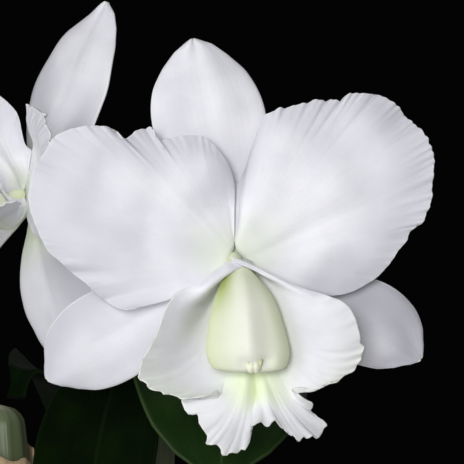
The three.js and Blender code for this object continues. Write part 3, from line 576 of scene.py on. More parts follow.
def sepal_colouring(depth, shaded_from, shaded_to):
    """Painted shade greys the blade outwards and on the side under the petals; a painted highlight makes its
    edges pale; green at both ends.
    """

    def colouring(tree, reach, across, colour):
        outwards = fade(tree, reach, 0.25, 0.8)
        # painted shade: greyer outwards, deeper on the sepals that stand in shade
        painted_shade = maths(tree, "MULTIPLY_ADD", outwards, 0.6 * depth, 0.3 * depth - 0.05, held=True)
        # painted highlight: pale edges along both sides of the blade
        edge = fade(tree, distance_from(tree, across, 0.5), 0.475, 0.495)
        return tinted(
            tree,
            colour,
            (painted_shade, (0.52, 0.52, 0.58)),
            # painted shade: the side that lies in the shade of the petals
            (times(tree, fade(tree, across, shaded_from, shaded_to), 0.75 * depth), (0.50, 0.50, 0.55)),
            (times(tree, edge, 0.7), (0.95, 0.95, 0.96)),
            (times(tree, fade(tree, reach, 0.88, 1.0), 0.6), (0.70, 0.77, 0.50)),
            (times(tree, fade(tree, reach, 0.2, 0.0), 0.8), (0.74, 0.82, 0.56)),
        )

    return colouring


sepal_materials = {}
for name, shape in SEPALS.items():
    sepal_materials[name] = flower_material(name, SEPAL_VEINS, sepal_colouring(*shape["shade"]))
for bloom_name, bloom in BLOOMS.items():
    place = bloom_place(bloom)
    for sepal_name, shape in SEPALS.items():
        node = f"{bloom_name}_{sepal_name}"
        surface = sepal_surface(shape, bloom)
        piece = living_sheet(f"{node}_blade", surface, SEPAL_GRID, place, PETAL_THICK, PETAL_RIM)
        piece.data.materials.append(sepal_materials[sepal_name])
        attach(piece, "root")
        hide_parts(node)

# Lip: the third petal, one trumpet-like blade that wraps the column. Its side lobes flare, and its middle
# lobe is forked and frilled. It leaves an egg-shaped ring at its claw, passes its throat and ends at its rim.
# Rows are (share of the way round from the top by the left, right, up, out).
LIP_THICK = 0.8
LIP_RIM = 0.4
LIP_GRID = (56, 420)
LIP_CROWD = 1.25
LIP_VEINS = 12.0
LIP_RING_RADIUS = 4.6
LIP_RING_HALF_WIDTH = 3.5
LIP_RING_TOP = 0.8
LIP_RING_OUT = 3.6
LIP_THROAT = reader(
    (
        (0, 0.9, -0.8, 10.6), (0.02, -0.7, -1.7, 11.6), (0.04, -2.2, -2.6, 12.3), (0.06, -3.9, -3.7, 12.7),
        (0.08, -5.4, -4.9, 12.9), (0.1, -6.6, -6, 12.6), (0.13, -7.8, -7.8, 10.6), (0.18, -9.8, -11, 7.2),
        (0.25, -10.6, -16.5, 5), (0.33, -8.6, -22.5, 5.4), (0.4, -4, -27, 7.8), (0.46, 0.5, -28.2, 9.6),
        (0.5, 4, -28.5, 9.2), (0.54, 7.5, -28.2, 9.6), (0.6, 12, -27, 9), (0.67, 15, -22, 12),
        (0.75, 15, -15, 12), (0.82, 13, -8.4, 11), (0.88, 9.8, -5, 10.9), (0.92, 7.2, -3.4, 11.7),
        (0.95, 4.6, -2, 12.2), (0.975, 1.8, -0.8, 12.4), (1, -1.4, 0.5, 12.2),
    )
)
LIP_MARGIN = reader(
    (
        (0, 0.8, -0.2, 10.2), (0.02, -0.9, 0.3, 11.1), (0.04, -2.7, 0, 11.8), (0.06, -4.6, -1.3, 12.2),
        (0.08, -6.4, -2.5, 12.6), (0.1, -8.4, -4.3, 12.8), (0.12, -10.4, -5.5, 12.9),
        (0.14, -12.5, -6.2, 13), (0.16, -14.6, -7.2, 13), (0.175, -15.9, -8.4, 13),
        (0.2, -17.7, -11.2, 13.1), (0.22, -18.8, -14.2, 13.2), (0.25, -20.2, -17.8, 13.6),
        (0.27, -21.7, -20.8, 14.2), (0.287, -23.3, -23.4, 15.2), (0.297, -23.8, -24.8, 16),
        (0.307, -24.2, -26.8, 15), (0.315, -24.3, -28.5, 13.6), (0.322, -23, -28.9, 13.6),
        (0.327, -22.3, -29.6, 14), (0.334, -22.1, -30.6, 13.4), (0.341, -20.8, -31.1, 13.4),
        (0.35, -18.8, -31.5, 13), (0.354, -18.2, -32.1, 13.4), (0.364, -15.8, -32.3, 13),
        (0.37, -14.5, -33.2, 12.8), (0.38, -12, -33.1, 12.9), (0.39, -9.6, -32.8, 12.7),
        (0.398, -7.5, -32.2, 12.4), (0.405, -5.8, -31.6, 11.8), (0.41, -5, -31.4, 11.2),
        (0.413, -5.8, -32.4, 10.4), (0.416, -7.5, -33, 9.8), (0.42, -9.8, -33.4, 9.2),
        (0.425, -12, -33.5, 8.8), (0.429, -13.8, -33.7, 8.6), (0.433, -13.8, -34.8, 8.8),
        (0.436, -13.2, -36.3, 9.2), (0.439, -12.4, -37.2, 9.8), (0.442, -11.2, -37.3, 10.2),
        (0.444, -10.4, -37.1, 10.4), (0.447, -9.8, -38, 10.4), (0.45, -9.5, -39.5, 10.4),
        (0.454, -8.5, -41.2, 10.2), (0.458, -7.5, -42.7, 10), (0.461, -7.9, -44.4, 9.8),
        (0.464, -7.2, -45, 9.6), (0.467, -6, -44.8, 9.8), (0.47, -5, -45.2, 9.5), (0.473, -4.3, -46.2, 9.2),
        (0.476, -4, -47.2, 8.8), (0.479, -2.8, -47.7, 8.6), (0.4805, -2.2, -47, 9),
        (0.4825, -1.2, -46.8, 9.2), (0.4845, -0.5, -47, 9), (0.487, 0.5, -46.5, 9.6),
        (0.4885, 1, -45.5, 9.8), (0.49, 1.5, -46.2, 9.8), (0.492, 2.3, -45, 10), (0.4945, 2.9, -43.5, 10.5),
        (0.497, 2.75, -41.8, 11), (0.5, 3, -40.3, 11.5), (0.503, 4, -39.5, 12), (0.506, 5.5, -38.9, 12),
        (0.508, 6, -39.5, 11.7), (0.51, 6.8, -40.2, 11.4), (0.5125, 7.8, -40, 11.6), (0.514, 8.3, -39, 12),
        (0.516, 9, -38.6, 12.1), (0.5185, 9.8, -39, 11.9), (0.521, 10.5, -40.2, 11.4),
        (0.5245, 11.8, -41.5, 10.9), (0.528, 13, -42.6, 10.4), (0.531, 14, -42.8, 10.2),
        (0.5335, 14.8, -44, 9.8), (0.536, 15.5, -43.5, 9.9), (0.5385, 16.3, -42.8, 10),
        (0.541, 17, -43.3, 9.6), (0.5435, 17.8, -42.8, 9.6), (0.546, 18.5, -42.5, 9.4),
        (0.5485, 19.3, -43.4, 9.1), (0.5515, 20, -43, 8.9), (0.555, 20.8, -42, 8.6),
        (0.558, 21.3, -40.8, 8.4), (0.561, 21.9, -40, 8.2), (0.565, 21, -39, 8.3), (0.57, 19.3, -37.8, 8.5),
        (0.575, 17.8, -36.6, 8.8), (0.579, 18.3, -35.5, 9.6), (0.583, 18.3, -34.5, 10.2),
        (0.587, 17, -33.8, 10.6), (0.591, 15.5, -32.8, 11), (0.594, 14.3, -31.8, 11.3),
        (0.597, 13.2, -31, 11.5), (0.605, 15.5, -30.6, 12.3), (0.62, 18.8, -31, 12.8),
        (0.627, 20, -30.5, 13.2), (0.636, 21.8, -29.8, 13), (0.641, 22.5, -29.1, 13.4),
        (0.648, 24.5, -29.1, 13.2), (0.652, 25, -28.3, 13.6), (0.658, 26.3, -27.3, 13.3),
        (0.664, 27.5, -26.8, 13.7), (0.67, 28.5, -26, 13.5), (0.677, 29, -24.8, 14.1),
        (0.685, 30, -23.5, 14.2), (0.694, 30.1, -22, 14.9), (0.703, 30.8, -20.8, 15.6),
        (0.712, 30, -19.8, 14.8), (0.725, 29.8, -18.2, 14.1), (0.74, 29.3, -15.8, 13.7),
        (0.76, 28.3, -12.8, 13.4), (0.775, 27, -10.8, 13.2), (0.795, 25, -9.3, 13),
        (0.815, 22.5, -8.3, 12.8), (0.836, 20, -7.5, 12.6), (0.86, 16.8, -6.6, 12.4),
        (0.88, 13.5, -5.5, 12.2), (0.905, 10.5, -4.1, 12.1), (0.925, 8, -2.8, 12), (0.945, 5.2, -1.4, 12.1),
        (0.97, 2.2, -0.1, 12.1), (1, -1.8, 1.4, 11.8),
    )
)
LIP_FRILL = reader(
    (
        (0, 0, 0), (0.2, 0.15, 0), (0.28, 0.5, 0), (0.36, 0.7, 0), (0.40, 0.4, 0), (0.43, 0.7, 0),
        (0.5, 0.8, 0), (0.57, 0.7, 0), (0.6, 0.4, 0), (0.66, 0.7, 0), (0.72, 0.5, 0), (0.85, 0.15, 0),
        (1, 0, 0),
    )
)
LIP_FOLDS = (
    (0.305, 0.010, -1.5, 3), (0.345, 0.006, -0.9, 4), (0.375, 0.006, 0.8, 4), (0.448, 0.006, -1.2, 3),
    (0.474, 0.008, 1.1, 3), (0.498, 0.006, -1.3, 2), (0.52, 0.008, 1.0, 3), (0.536, 0.005, -0.8, 4),
    (0.551, 0.006, 0.9, 4), (0.632, 0.006, -0.8, 4), (0.668, 0.006, 0.7, 4), (0.712, 0.008, -3.2, 3),
)
LIP_FLOOR = Vector((0, 0, 8))
LIFT_PIVOT = Vector((0, 0, LIP_RING_OUT))


def lifted(p, bloom):
    """Lifts a point of the lip or column out of the bloom's plane and swings it aside, more so far out."""
    offset = p - LIFT_PIVOT
    share = step_between(4, 16, offset.length)
    offset *= 1 + (bloom["lip_size"] - 1) * share
    offset.rotate(Matrix.Rotation(math.radians(-bloom["lift"] * share), 3, "X"))
    offset.rotate(Matrix.Rotation(math.radians(bloom["swing"] * share), 3, "Y"))
    return offset + LIFT_PIVOT


def furled(p, bloom):
    """Rolls the side lobes of a young lip up beside the column, from the throat's floor outwards."""
    for heading in (0, 180):
        p = curl(p - LIP_FLOOR, heading, bloom["furl"] * step_between(-37, -24, p.y)) + LIP_FLOOR
    return p


def lip_surface(bloom):
    plain = settled(LIP_MARGIN, 0.014, 400)

    def surface(reach, across):
        around = 0.5 + (across - 0.5) * (0.55 + 0.45 * abs(2 * across - 1))
        angle = math.radians(84 + 376 * around)
        flank = LIP_RING_HALF_WIDTH * (1 - 0.5 * max(0, math.sin(angle)))
        height = LIP_RING_TOP if math.sin(angle) > 0 else LIP_RING_RADIUS
        ring = Vector((flank * math.cos(angle), height * math.sin(angle), LIP_RING_OUT))
        throat, rim, even_rim = LIP_THROAT(around), LIP_MARGIN(around), plain(around)
        p = ring * (1 - reach) * (1 - 2 * reach) + throat * 4 * reach * (1 - reach)
        p += even_rim * reach * (2 * reach - 1)
        if reach > 0.5:
            p = p.lerp(throat.lerp(even_rim, 2 * reach - 1), step_between(0.86, 0.93, around))
        p += (rim - even_rim) * reach**5
        for place, width, height, power in LIP_FOLDS:
            p.z += 0.4 * height * hump(around, place, width) * reach ** (power + 2)
        p.z -= 0.7 * hump(around, 0.5, 0.010) * hump(reach, 0.6, 0.14)
        p.z += 0.6 * (hump(around, 0.478, 0.010) + hump(around, 0.522, 0.010)) * hump(reach, 0.6, 0.14)
        frill = LIP_FRILL(around).x
        wave = noise.noise(Vector((rim.x * 0.42, rim.y * 0.42, 4.1 + reach)))
        fine = noise.noise(Vector((rim.x * 1.0, rim.y * 1.0, 8.3 + reach)))
        p.z += frill * (1.8 * reach**9 * wave + 0.8 * reach**16 * fine)
        p += (rim - throat).normalized() * frill * reach**12 * 0.4 * fine
        return lifted(furled(p, bloom), bloom)

    return surface


def lip_colouring(tree, reach, across, colour):
    """Cream in the throat, yellow-green at the neck and its groove, painted shade greying the valley beside
    the left lobe, cream on the flanks, painted shade greying the middle lobe where it forks, and a pale rim."""
    flanks = maths(tree, "ADD", band(tree, across, 0.30, 0.15), band(tree, across, 0.70, 0.15), held=True)
    return tinted(
        tree,
        colour,
        (times(tree, fade(tree, reach, 0.56, 0.20), band(tree, across, 0.5, 0.49)), (0.72, 0.77, 0.56)),
        (times(tree, band(tree, across, 0.5, 0.20), fade(tree, reach, 0.72, 0.48)), (0.82, 0.92, 0.63)),
        (times(tree, band(tree, across, 0.5, 0.016), band(tree, reach, 0.5, 0.16)), (0.68, 0.78, 0.42)),
        # painted shade: grey in the valley beside the left lobe
        (times(tree, band(tree, across, 0.155, 0.10), band(tree, reach, 0.5, 0.30), 0.7), (0.56, 0.58, 0.52)),
        (times(tree, flanks, fade(tree, reach, 0.5, 0.95), 0.4), (0.76, 0.82, 0.62)),
        # painted shade: grey where the middle lobe forks
        (times(tree, band(tree, across, 0.5, 0.16), fade(tree, reach, 0.60, 0.85), 0.5), (0.58, 0.60, 0.58)),
        (times(tree, fade(tree, reach, 0.93, 1.0), 0.35), (0.88, 0.92, 0.82)),
    )


lip_material = flower_material("lip", LIP_VEINS, lip_colouring)
for bloom_name, bloom in BLOOMS.items():
    node = f"{bloom_name}_lip"
    surface, place = lip_surface(bloom), bloom_place(bloom)
    piece = living_sheet(f"{node}_blade", surface, LIP_GRID, place, LIP_THICK, LIP_RIM, LIP_CROWD)
    piece.data.materials.append(lip_material)
    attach(piece, "root")
    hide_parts(node)

# Column: the stout waxy body in the lip's throat, arched out and down, broadest near its end, with a soft
# keel down its face. Two tiny teeth at its end hold the small anther cap, which sits in a pocket between
# them.
COLUMN_LINE = even_reader(
    (
        (-0.9, 0, 3.4), (-0.7, -0.1, 5.8), (0.5, -2.7, 9.1), (1.5, -8.7, 12), (2, -16, 13.4),
        (2.4, -22, 14), (2.7, -27, 13.6),
    )
)
COLUMN_SIZES = reader(
    (
        (0, 2.1, 2.6), (0.12, 2, 2.4), (0.25, 2.3, 2.4), (0.333, 3.4, 2.8), (0.42, 5.6, 3.2),
        (0.5, 7.3, 3.4), (0.6, 8.7, 3.6), (0.72, 9.8, 3.8), (0.83, 10.2, 3.9), (0.93, 9.4, 3.6),
        (1, 7.8, 2.6),
    )
)
COLUMN_CREST = 3.8
ANTHER_AT = Vector((3.8, -25.2, 15.9))
ANTHER_RADIUS = 1.9
CHEEKS = (Vector((1.75, -24, 17)), Vector((7, -23.75, 16.6)))
TOOTH_PLACES = ((2.75, -24.4, 17.0), (5.5, -24.4, 17.0))
TOOTH_LEAN = 70
TOOTH_RADIUS = 0.6
TOOTH_TIP = 0.1
TOOTH_LENGTH = 1.8
COLUMN_GRID = (72, 64)


def round_body(name, surface, grid, place):
    """A closed body: a grid of (rows, stations round it) rolled round surface(along, turn), welded along its
    seam and at both ends."""
    bm = bmesh.new()
    bm.loops.layers.uv.new("UVMap")
    bmesh.ops.create_grid(bm, x_segments=grid[1], y_segments=grid[0], size=0.5, calc_uvs=True)
    for vert in bm.verts:
        vert.co = place @ surface(vert.co.y + 0.5, vert.co.x + 0.5)
    bmesh.ops.remove_doubles(bm, verts=bm.verts, dist=2e-6)
    bmesh.ops.recalc_face_normals(bm, faces=bm.faces)
    return put_down(bm, name, smooth=True)


def rounded_end(along, start, end):
    """Closes a body at both ends: 0 at its tips, 1 between them, rounded over the shares start and end."""
    low = min(1, along / start)
    high = min(1, (1 - along) / end)
    return math.sqrt(max(0, 1 - (1 - low) ** 2)) * math.sqrt(max(0, 1 - (1 - high) ** 2))


def sheet_place(tree, axis, frame="UV"):
    """A place on a piece's sheet, X across and Y along it, or one axis of its space for Object."""
    where = add_node(tree, "ShaderNodeTexCoord").outputs[frame]
    return add_node(tree, "ShaderNodeSeparateXYZ", {0: where}).outputs[axis]


def column_surface(bloom):
    def surface(along, turn):
        ahead = (COLUMN_LINE(min(1, along + 0.01)) - COLUMN_LINE(max(0, along - 0.01))).normalized()
        back = Vector((1, 0, 0)).cross(ahead)
        half_width, half_depth = COLUMN_SIZES(along)
        angle = turn * 2 * math.pi
        close = rounded_end(along, 0.03, 0.045)
        rise = math.sin(angle)
        crest = COLUMN_CREST * hump(along, 0, 0.16)
        depth = rise * (half_depth * 0.75 + crest) if rise > 0 else -(abs(rise) ** 1.35) * half_depth
        p = COLUMN_LINE(along) + Vector((math.cos(angle) * half_width * close, 0, 0)) + back * depth * close
        if rise < 0:
            lobed = 0.6 * hump(math.cos(angle), 0.06, 0.2)
            lobed -= 0.4 * (hump(math.cos(angle), -0.42, 0.16) + hump(math.cos(angle), 0.5, 0.2))
            p -= back * lobed * hump(along, 0.78, 0.3) * close
            p += back * 2.2 * math.exp(-(((p - ANTHER_AT).length / 2.3) ** 2))
            for cheek in CHEEKS:
                p += back * 0.9 * math.exp(-(((p - cheek).length / 1.5) ** 2))
        return lifted(p, bloom)

    return surface


column_material, tree, shader = new_material("column", 0.5)
clouds = grain(tree, 160.0, 2.0)
turn_place, along_place = sheet_place(tree, "X"), sheet_place(tree, "Y")
# The olive patch on the left flank is partly the column's own green and partly painted shade under the lip's
# rim.
olive_and_shade = times(tree, band(tree, turn_place, 0.60, 0.12), band(tree, along_place, 0.42, 0.24))
waxy = blend_colour(tree, clouds, (0.83, 0.86, 0.72), (0.90, 0.91, 0.82))
# Partly the column's own colour and partly painted light and shade: its face, where the lamp falls, is paler
# than its greener flanks.
skin = tinted(
    tree,
    blend_colour(tree, band(tree, turn_place, 0.77, 0.25), (0.66, 0.72, 0.47), waxy),
    (times(tree, fade(tree, along_place, 0.60, 0.25), 0.6), (0.66, 0.72, 0.44)),
    (olive_and_shade, (0.44, 0.52, 0.18)),
)
give_look(tree, shader, skin, clouds, 0.12, 0.0005)
let_light_in(shader, 0.2, 0.0015, (1, 1, 0.7))
for bloom_name, bloom in BLOOMS.items():
    node = f"{bloom_name}_column"
    place = bloom_place(bloom)
    piece = round_body(f"{node}_body", column_surface(bloom), COLUMN_GRID, place)
    bm = bmesh.new()
    bm.from_mesh(piece.data)
    for tooth_place in TOOTH_PLACES:
        tooth = Matrix.Translation(lifted(Vector(tooth_place), bloom))
        tooth = tooth @ Matrix.Rotation(math.radians(TOOTH_LEAN - bloom["lift"]), 4, "X")
        bmesh.ops.create_cone(
            bm,
            cap_ends=True,
            segments=10,
            radius1=TOOTH_RADIUS,
            radius2=TOOTH_TIP,
            depth=TOOTH_LENGTH,
            matrix=place @ tooth,
        )
    for face in bm.faces:
        face.smooth = True
    bm.to_mesh(piece.data)
    bm.free()
    piece.data.materials.append(column_material)
    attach(piece, "root")
    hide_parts(node)

# Anther cap: a small waxy cap with a groove down its middle. It sits over the pollen at the column's end,
# between the two teeth.
CAP_GRID = (24, 32)
cap_material, tree, shader = new_material("anther_cap", 0.4)
waxy = blend_colour(tree, grain(tree, 900.0, 2.0), (0.82, 0.83, 0.58), (0.92, 0.91, 0.80))
tree.links.new(waxy, shader.inputs["Base Color"])
let_light_in(shader, 0.2, 0.001)


def cap_surface(bloom):
    centre = lifted(ANTHER_AT, bloom)

    def surface(along, turn):
        angle = turn * 2 * math.pi
        lean = along * math.pi
        across = math.cos(angle) * math.sin(lean)
        groove = 1 - 0.22 * hump(across, 0, 0.22)
        way = Vector((across, math.cos(lean), math.sin(angle) * math.sin(lean)))
        return centre + ANTHER_RADIUS * groove * way

    return surface


for bloom_name, bloom in BLOOMS.items():
    node = f"{bloom_name}_anther_cap"
    piece = round_body(f"{node}_body", cap_surface(bloom), CAP_GRID, bloom_place(bloom))
    piece.data.materials.append(cap_material)
    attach(piece, "root")
    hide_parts(node)

# Pseudobulbs: swollen canes that store water, a little ribbed lengthwise, with a pale ring at each joint.
# Four of them stand in a row on the rhizome, the older ones shorter.
CANES = (
    {"foot": (34, 30), "head": (46, 42, 170), "thick": 9, "bow": (3, 2, 0)},
    {"foot": (13, 17), "head": (22, 30, 190), "thick": 9.5, "bow": (2, -2, 0)},
    {"foot": (-8, 2), "head": (-3, 7, 255), "thick": 9, "bow": (-3, 2, 0)},
    {"foot": (-29, -11), "head": (-45, -9, 246), "thick": 9.5, "bow": (-4, 2, 0)},
)
CANE_FOOT_HEIGHT = 111.35
CANE_HEAD_RADIUS = 6.2
CANE_RINGS = 4
CANE_GRID = (90, 56)


def cane_line(cane):
    low = Vector((*cane["foot"], CANE_FOOT_HEIGHT))
    head = Vector(cane["head"])
    middle = (low + head) / 2 + Vector(cane["bow"])
    return low, low + Vector((0, 0, 6)), middle, head


def cane_radius(thick, along):
    swell = math.sin(math.pi * min(1, 0.16 + along * 0.72)) ** 1.2
    ring = 1 - 0.05 * math.cos(2 * math.pi * CANE_RINGS * along) ** 8
    return (CANE_HEAD_RADIUS - 0.6 + (thick - CANE_HEAD_RADIUS + 0.6) * swell) * ring


def sweep(points, steps=160):
    """Even stations along a smooth curve, each a point with two crosswise directions that don't twist."""
    read = even_reader([tuple(p) for p in points])
    dense = [read(i / (8 * steps)) for i in range(8 * steps + 1)]
    lengths = [0.0]
    for a, b in zip(dense, dense[1:]):
        lengths.append(lengths[-1] + (b - a).length)
    stations = []
    side = None
    for i in range(steps + 1):
        goal = lengths[-1] * i / steps
        j = min(max(bisect_left(lengths, goal), 1), len(dense) - 1)
        f = (goal - lengths[j - 1]) / max(lengths[j] - lengths[j - 1], 1e-9)
        p = dense[j - 1].lerp(dense[j], f)
        ahead = (dense[j] - dense[j - 1]).normalized()
        if side is None:
            side = ahead.orthogonal().normalized()
        side = (side - ahead * side.dot(ahead)).normalized()
        stations.append((p, side, ahead.cross(side)))
    return stations


def station(stations, along):
    """Reads a swept curve at any share of its length."""
    i = min(int(along * (len(stations) - 1)), len(stations) - 2)
    f = along * (len(stations) - 1) - i
    return tuple(a.lerp(b, f) for a, b in zip(stations[i], stations[i + 1]))


def rod_surface(points, radius_at, ends):
    """A round body along a curve, whose radius is radius_at(along, angle)."""
    stations = sweep(points)

    def surface(along, turn):
        p, side, other = station(stations, along)
        angle = turn * 2 * math.pi
        radius = radius_at(along, angle) * rounded_end(along, *ends)
        return p + (side * math.cos(angle) + other * math.sin(angle)) * radius

    return surface


def ribbed_cane(cane, seed):
    def radius(along, angle):
        rib = 0.18 * math.sin(angle * 11 + 1.5 * noise.noise(Vector((along * 3, seed, 0))))
        dent = 0.35 * noise.noise(Vector((math.cos(angle), math.sin(angle), along * 5 + seed)))
        return cane_radius(cane["thick"], along) + rib * min(1, 6 * along) + dent

    return radius


def stretched_grain(tree, stretch, detail, frame="UV"):
    """Noise stretched by its own amount along each axis of a piece's sheet or space."""
    where = add_node(tree, "ShaderNodeTexCoord").outputs[frame]
    space = add_node(tree, "ShaderNodeVectorMath", {0: where, 1: stretch}, operation="MULTIPLY")
    sockets = {"Vector": space.outputs[0], "Scale": 1.0, "Detail": detail}
    return add_node(tree, "ShaderNodeTexNoise", sockets).outputs["Fac"]


cane_material, tree, shader = new_material("pseudobulb", 0.42)
streaks = stretched_grain(tree, (70, 3, 1), 4.0)
from_joint = maths(tree, "PINGPONG", maths(tree, "MULTIPLY", sheet_place(tree, "Y"), CANE_RINGS), 1.0)
skin = tinted(
    tree,
    blend_colour(tree, streaks, (0.045, 0.07, 0.025), (0.16, 0.19, 0.10)),
    (fade(tree, grain(tree, 60.0, 4.0), 0.52, 0.75), (0.17, 0.18, 0.07)),
    (fade(tree, from_joint, 0.05, 0.01), (0.34, 0.32, 0.22)),
)
give_look(tree, shader, skin, streaks, 0.4, 0.0006)
for i, cane in enumerate(CANES):
    node = f"pseudobulb_{i + 1}"
    shape = rod_surface(cane_line(cane), ribbed_cane(cane, i * 7.3), (0.03, 0.04))
    piece = round_body(f"{node}_body", shape, CANE_GRID, MILLIMETRES)
    piece.data.materials.append(cane_material)
    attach(piece, "root")
    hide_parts(node)

# Papery sheaths: dry skins that the canes outgrew, wrapped once round the lower part of each, lapped over at
# the side and torn along the top. The youngest cane still wears one almost to its head.
SHEATH_SPANS = ((0.06, 0.42), (0.06, 0.46), (0.05, 0.4), (0.08, 0.92))
SHEATH_GAP = 1.05
SHEATH_LAP = 0.08
SHEATH_THICK = 0.45
SHEATH_RIM = 0.25
SHEATH_GRID = (40, 110)


def sheath_surface(cane, span, seed):
    stations = sweep(cane_line(cane))

    def surface(reach, across):
        angle = across * (1 + SHEATH_LAP) * 2 * math.pi
        tear = 0.02 * noise.noise(Vector((across * 14, seed, 0)))
        tear += 0.035 * max(0, math.sin(angle + seed)) ** 2
        along = span[0] + (span[1] - tear - span[0]) * reach
        p, side, other = station(stations, along)
        crease = 0.22 * noise.noise(Vector((math.cos(angle) * 3, math.sin(angle) * 3, along * 4 + seed)))
        rib = 0.07 * math.sin(angle * 26)
        flare = 0.5 * reach**3
        radius = cane_radius(cane["thick"], along) + SHEATH_GAP + crease + rib + flare + 0.35 * across
        return p + (side * math.cos(angle) + other * math.sin(angle)) * radius

    return surface


sheath_material, tree, shader = new_material("dry_sheath", 0.75)
veins = stretched_grain(tree, (90, 2.5, 1), 5.0)
skin = tinted(
    tree,
    blend_colour(tree, veins, (0.42, 0.34, 0.20), (0.80, 0.76, 0.62)),
    (fade(tree, grain(tree, 55.0, 5.0), 0.50, 0.72), (0.40, 0.46, 0.24)),
    (fade(tree, sheet_place(tree, "Y"), 0.93, 1.0), (0.45, 0.33, 0.19)),
)
give_look(tree, shader, skin, veins, 0.5, 0.0005)
for i, cane in enumerate(CANES):
    node = f"cane_sheath_{i + 1}"
    surface = sheath_surface(cane, SHEATH_SPANS[i], i * 3.1)
    piece = living_sheet(f"{node}_wrap", surface, SHEATH_GRID, MILLIMETRES, SHEATH_THICK, SHEATH_RIM)
    piece.data.materials.append(sheath_material)
    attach(piece, "root")
    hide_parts(node)

# Leaves: thick, stiff and leathery, two at the head of each cane, channelled along the midrib. They rise from
# the head and arch over under their own weight.
LEAF_THICK = 1.6
LEAF_RIM = 0.9
LEAF_SEAT = 5.8
LEAF_CHANNEL = 0.16
SEAT_GAP = 0.35
LEAF_HALF_WIDTHS = reader(
    (
        (0, 0.13, 0), (0.06, 0.15, 0), (0.16, 0.44, 0), (0.32, 0.86, 0), (0.5, 1, 0), (0.66, 0.95, 0),
        (0.8, 0.8, 0), (0.91, 0.54, 0), (0.97, 0.28, 0), (1, 0.05, 0),
    )
)
LEAVES = (
    {"cane": 0, "azimuth": 60, "turn": -30, "rise": 16, "bend": 50, "roll": 0, "length": 92, "width": 40},
    {"cane": 0, "azimuth": -40, "turn": 30, "rise": 24, "bend": 60, "roll": 0, "length": 84, "width": 36},
    {"cane": 1, "azimuth": 110, "turn": 20, "rise": 6, "bend": 50, "roll": 0, "length": 100, "width": 42},
    {"cane": 1, "azimuth": -62, "turn": 20, "rise": 6, "bend": 50, "roll": 0, "length": 92, "width": 40},
    {"cane": 2, "azimuth": -54, "turn": -46, "rise": -26, "bend": 70, "roll": 0, "length": 70, "width": 46},
    {"cane": 2, "azimuth": 246, "turn": 20, "rise": -54, "bend": 56, "roll": 0, "length": 90, "width": 33},
    {"cane": 3, "azimuth": 172, "turn": -10, "rise": -4, "bend": 60, "roll": 0, "length": 108, "width": 44},
    {"cane": 3, "azimuth": 62, "turn": 30, "rise": -24, "bend": 40, "roll": 30, "length": 96, "width": 42},
)
LEAF_STEPS = 24
LEAF_GRID = (80, 30)
UP = Vector((0, 0, 1))
# The leaf's own dark green, made far darker still by painted shade, as the leaves stand back in dim light.
LEAF_SHADES = {
    "deep": (0.0026, 0.014, 0.0006), "light": (0.008, 0.032, 0.0014), "spot": (0.013, 0.046, 0.002),
    "rib": (0.018, 0.050, 0.009), "edge": (0.026, 0.050, 0.011),
}


def leaf_line(leaf):
    """The leaf's middle line: short even steps that start steep and bend down along its length."""
    _, _, middle, head = cane_line(CANES[leaf["cane"]])
    lean = UP.rotation_difference((head - middle).normalized())
    seat = Vector((LEAF_SEAT, 0, SEAT_GAP + LEAF_THICK / 2))
    seat.rotate(Quaternion(UP, math.radians(leaf["azimuth"] - leaf["turn"])))
    seat.rotate(lean)
    line = [seat + head]
    for k in range(1, LEAF_STEPS + 1):
        share = k / LEAF_STEPS
        rise = math.radians(62 if share < 0.1 else leaf["rise"] + leaf["bend"] * (0.5 - share))
        heading = math.radians(leaf["azimuth"] + leaf["turn"] * share)
        level = math.cos(rise)
        ahead = Vector((math.cos(heading) * level, math.sin(heading) * level, math.sin(rise)))
        line.append(line[-1] + ahead * leaf["length"] / LEAF_STEPS)
    return even_reader(line)


def leaf_surface(leaf, seed):
    middle = leaf_line(leaf)

    def surface(along, across):
        p = middle(along)
        ahead = (middle(min(1, along + 0.01)) - middle(max(0, along - 0.01))).normalized()
        side = ahead.cross(UP).normalized()
        side.rotate(Quaternion(ahead, math.radians(leaf["roll"] * min(1, along * 3))))
        face = side.cross(ahead)
        t = across * 2 - 1
        half = leaf["width"] / 2 * LEAF_HALF_WIDTHS(along).x
        swell = 0.5 * noise.noise(Vector((along * 3, t * 1.5, seed))) * min(1, along * 4)
        crease = -0.5 * math.exp(-((t / 0.06) ** 2)) * min(1, along * 6) * (1 - along)
        return p + side * t * half + face * (LEAF_CHANNEL * half * (t * t - 0.4) + swell + crease)

    return surface


def leaf_skin(name, roughness, depth):
    """Leaf skin with fine lengthwise lines, mottling, a paler midrib and edge. Depth scales its greens down
    as painted shade.
    """
    material, tree, shader = new_material(name, roughness)
    lines = stretched_grain(tree, (80, 3, 1), 3.0)
    from_rib = distance_from(tree, sheet_place(tree, "X"), 0.5)
    shades = {key: tuple(c * depth for c in shade) for key, shade in LEAF_SHADES.items()}
    skin = tinted(
        tree,
        blend_colour(tree, lines, shades["deep"], shades["light"]),
        (fade(tree, grain(tree, 90.0, 5.0), 0.45, 0.80), shades["spot"]),
        (fade(tree, from_rib, 0.030, 0.004), shades["rib"]),
        (fade(tree, from_rib, 0.485, 0.5), shades["edge"]),
    )
    relief = maths(tree, "MULTIPLY_ADD", grain(tree, 1400.0, 2.0), 0.25, lines)
    give_look(tree, shader, skin, relief, 0.25, 0.0004)
    shader.inputs["Specular IOR Level"].default_value = 0.2 * depth
    return material


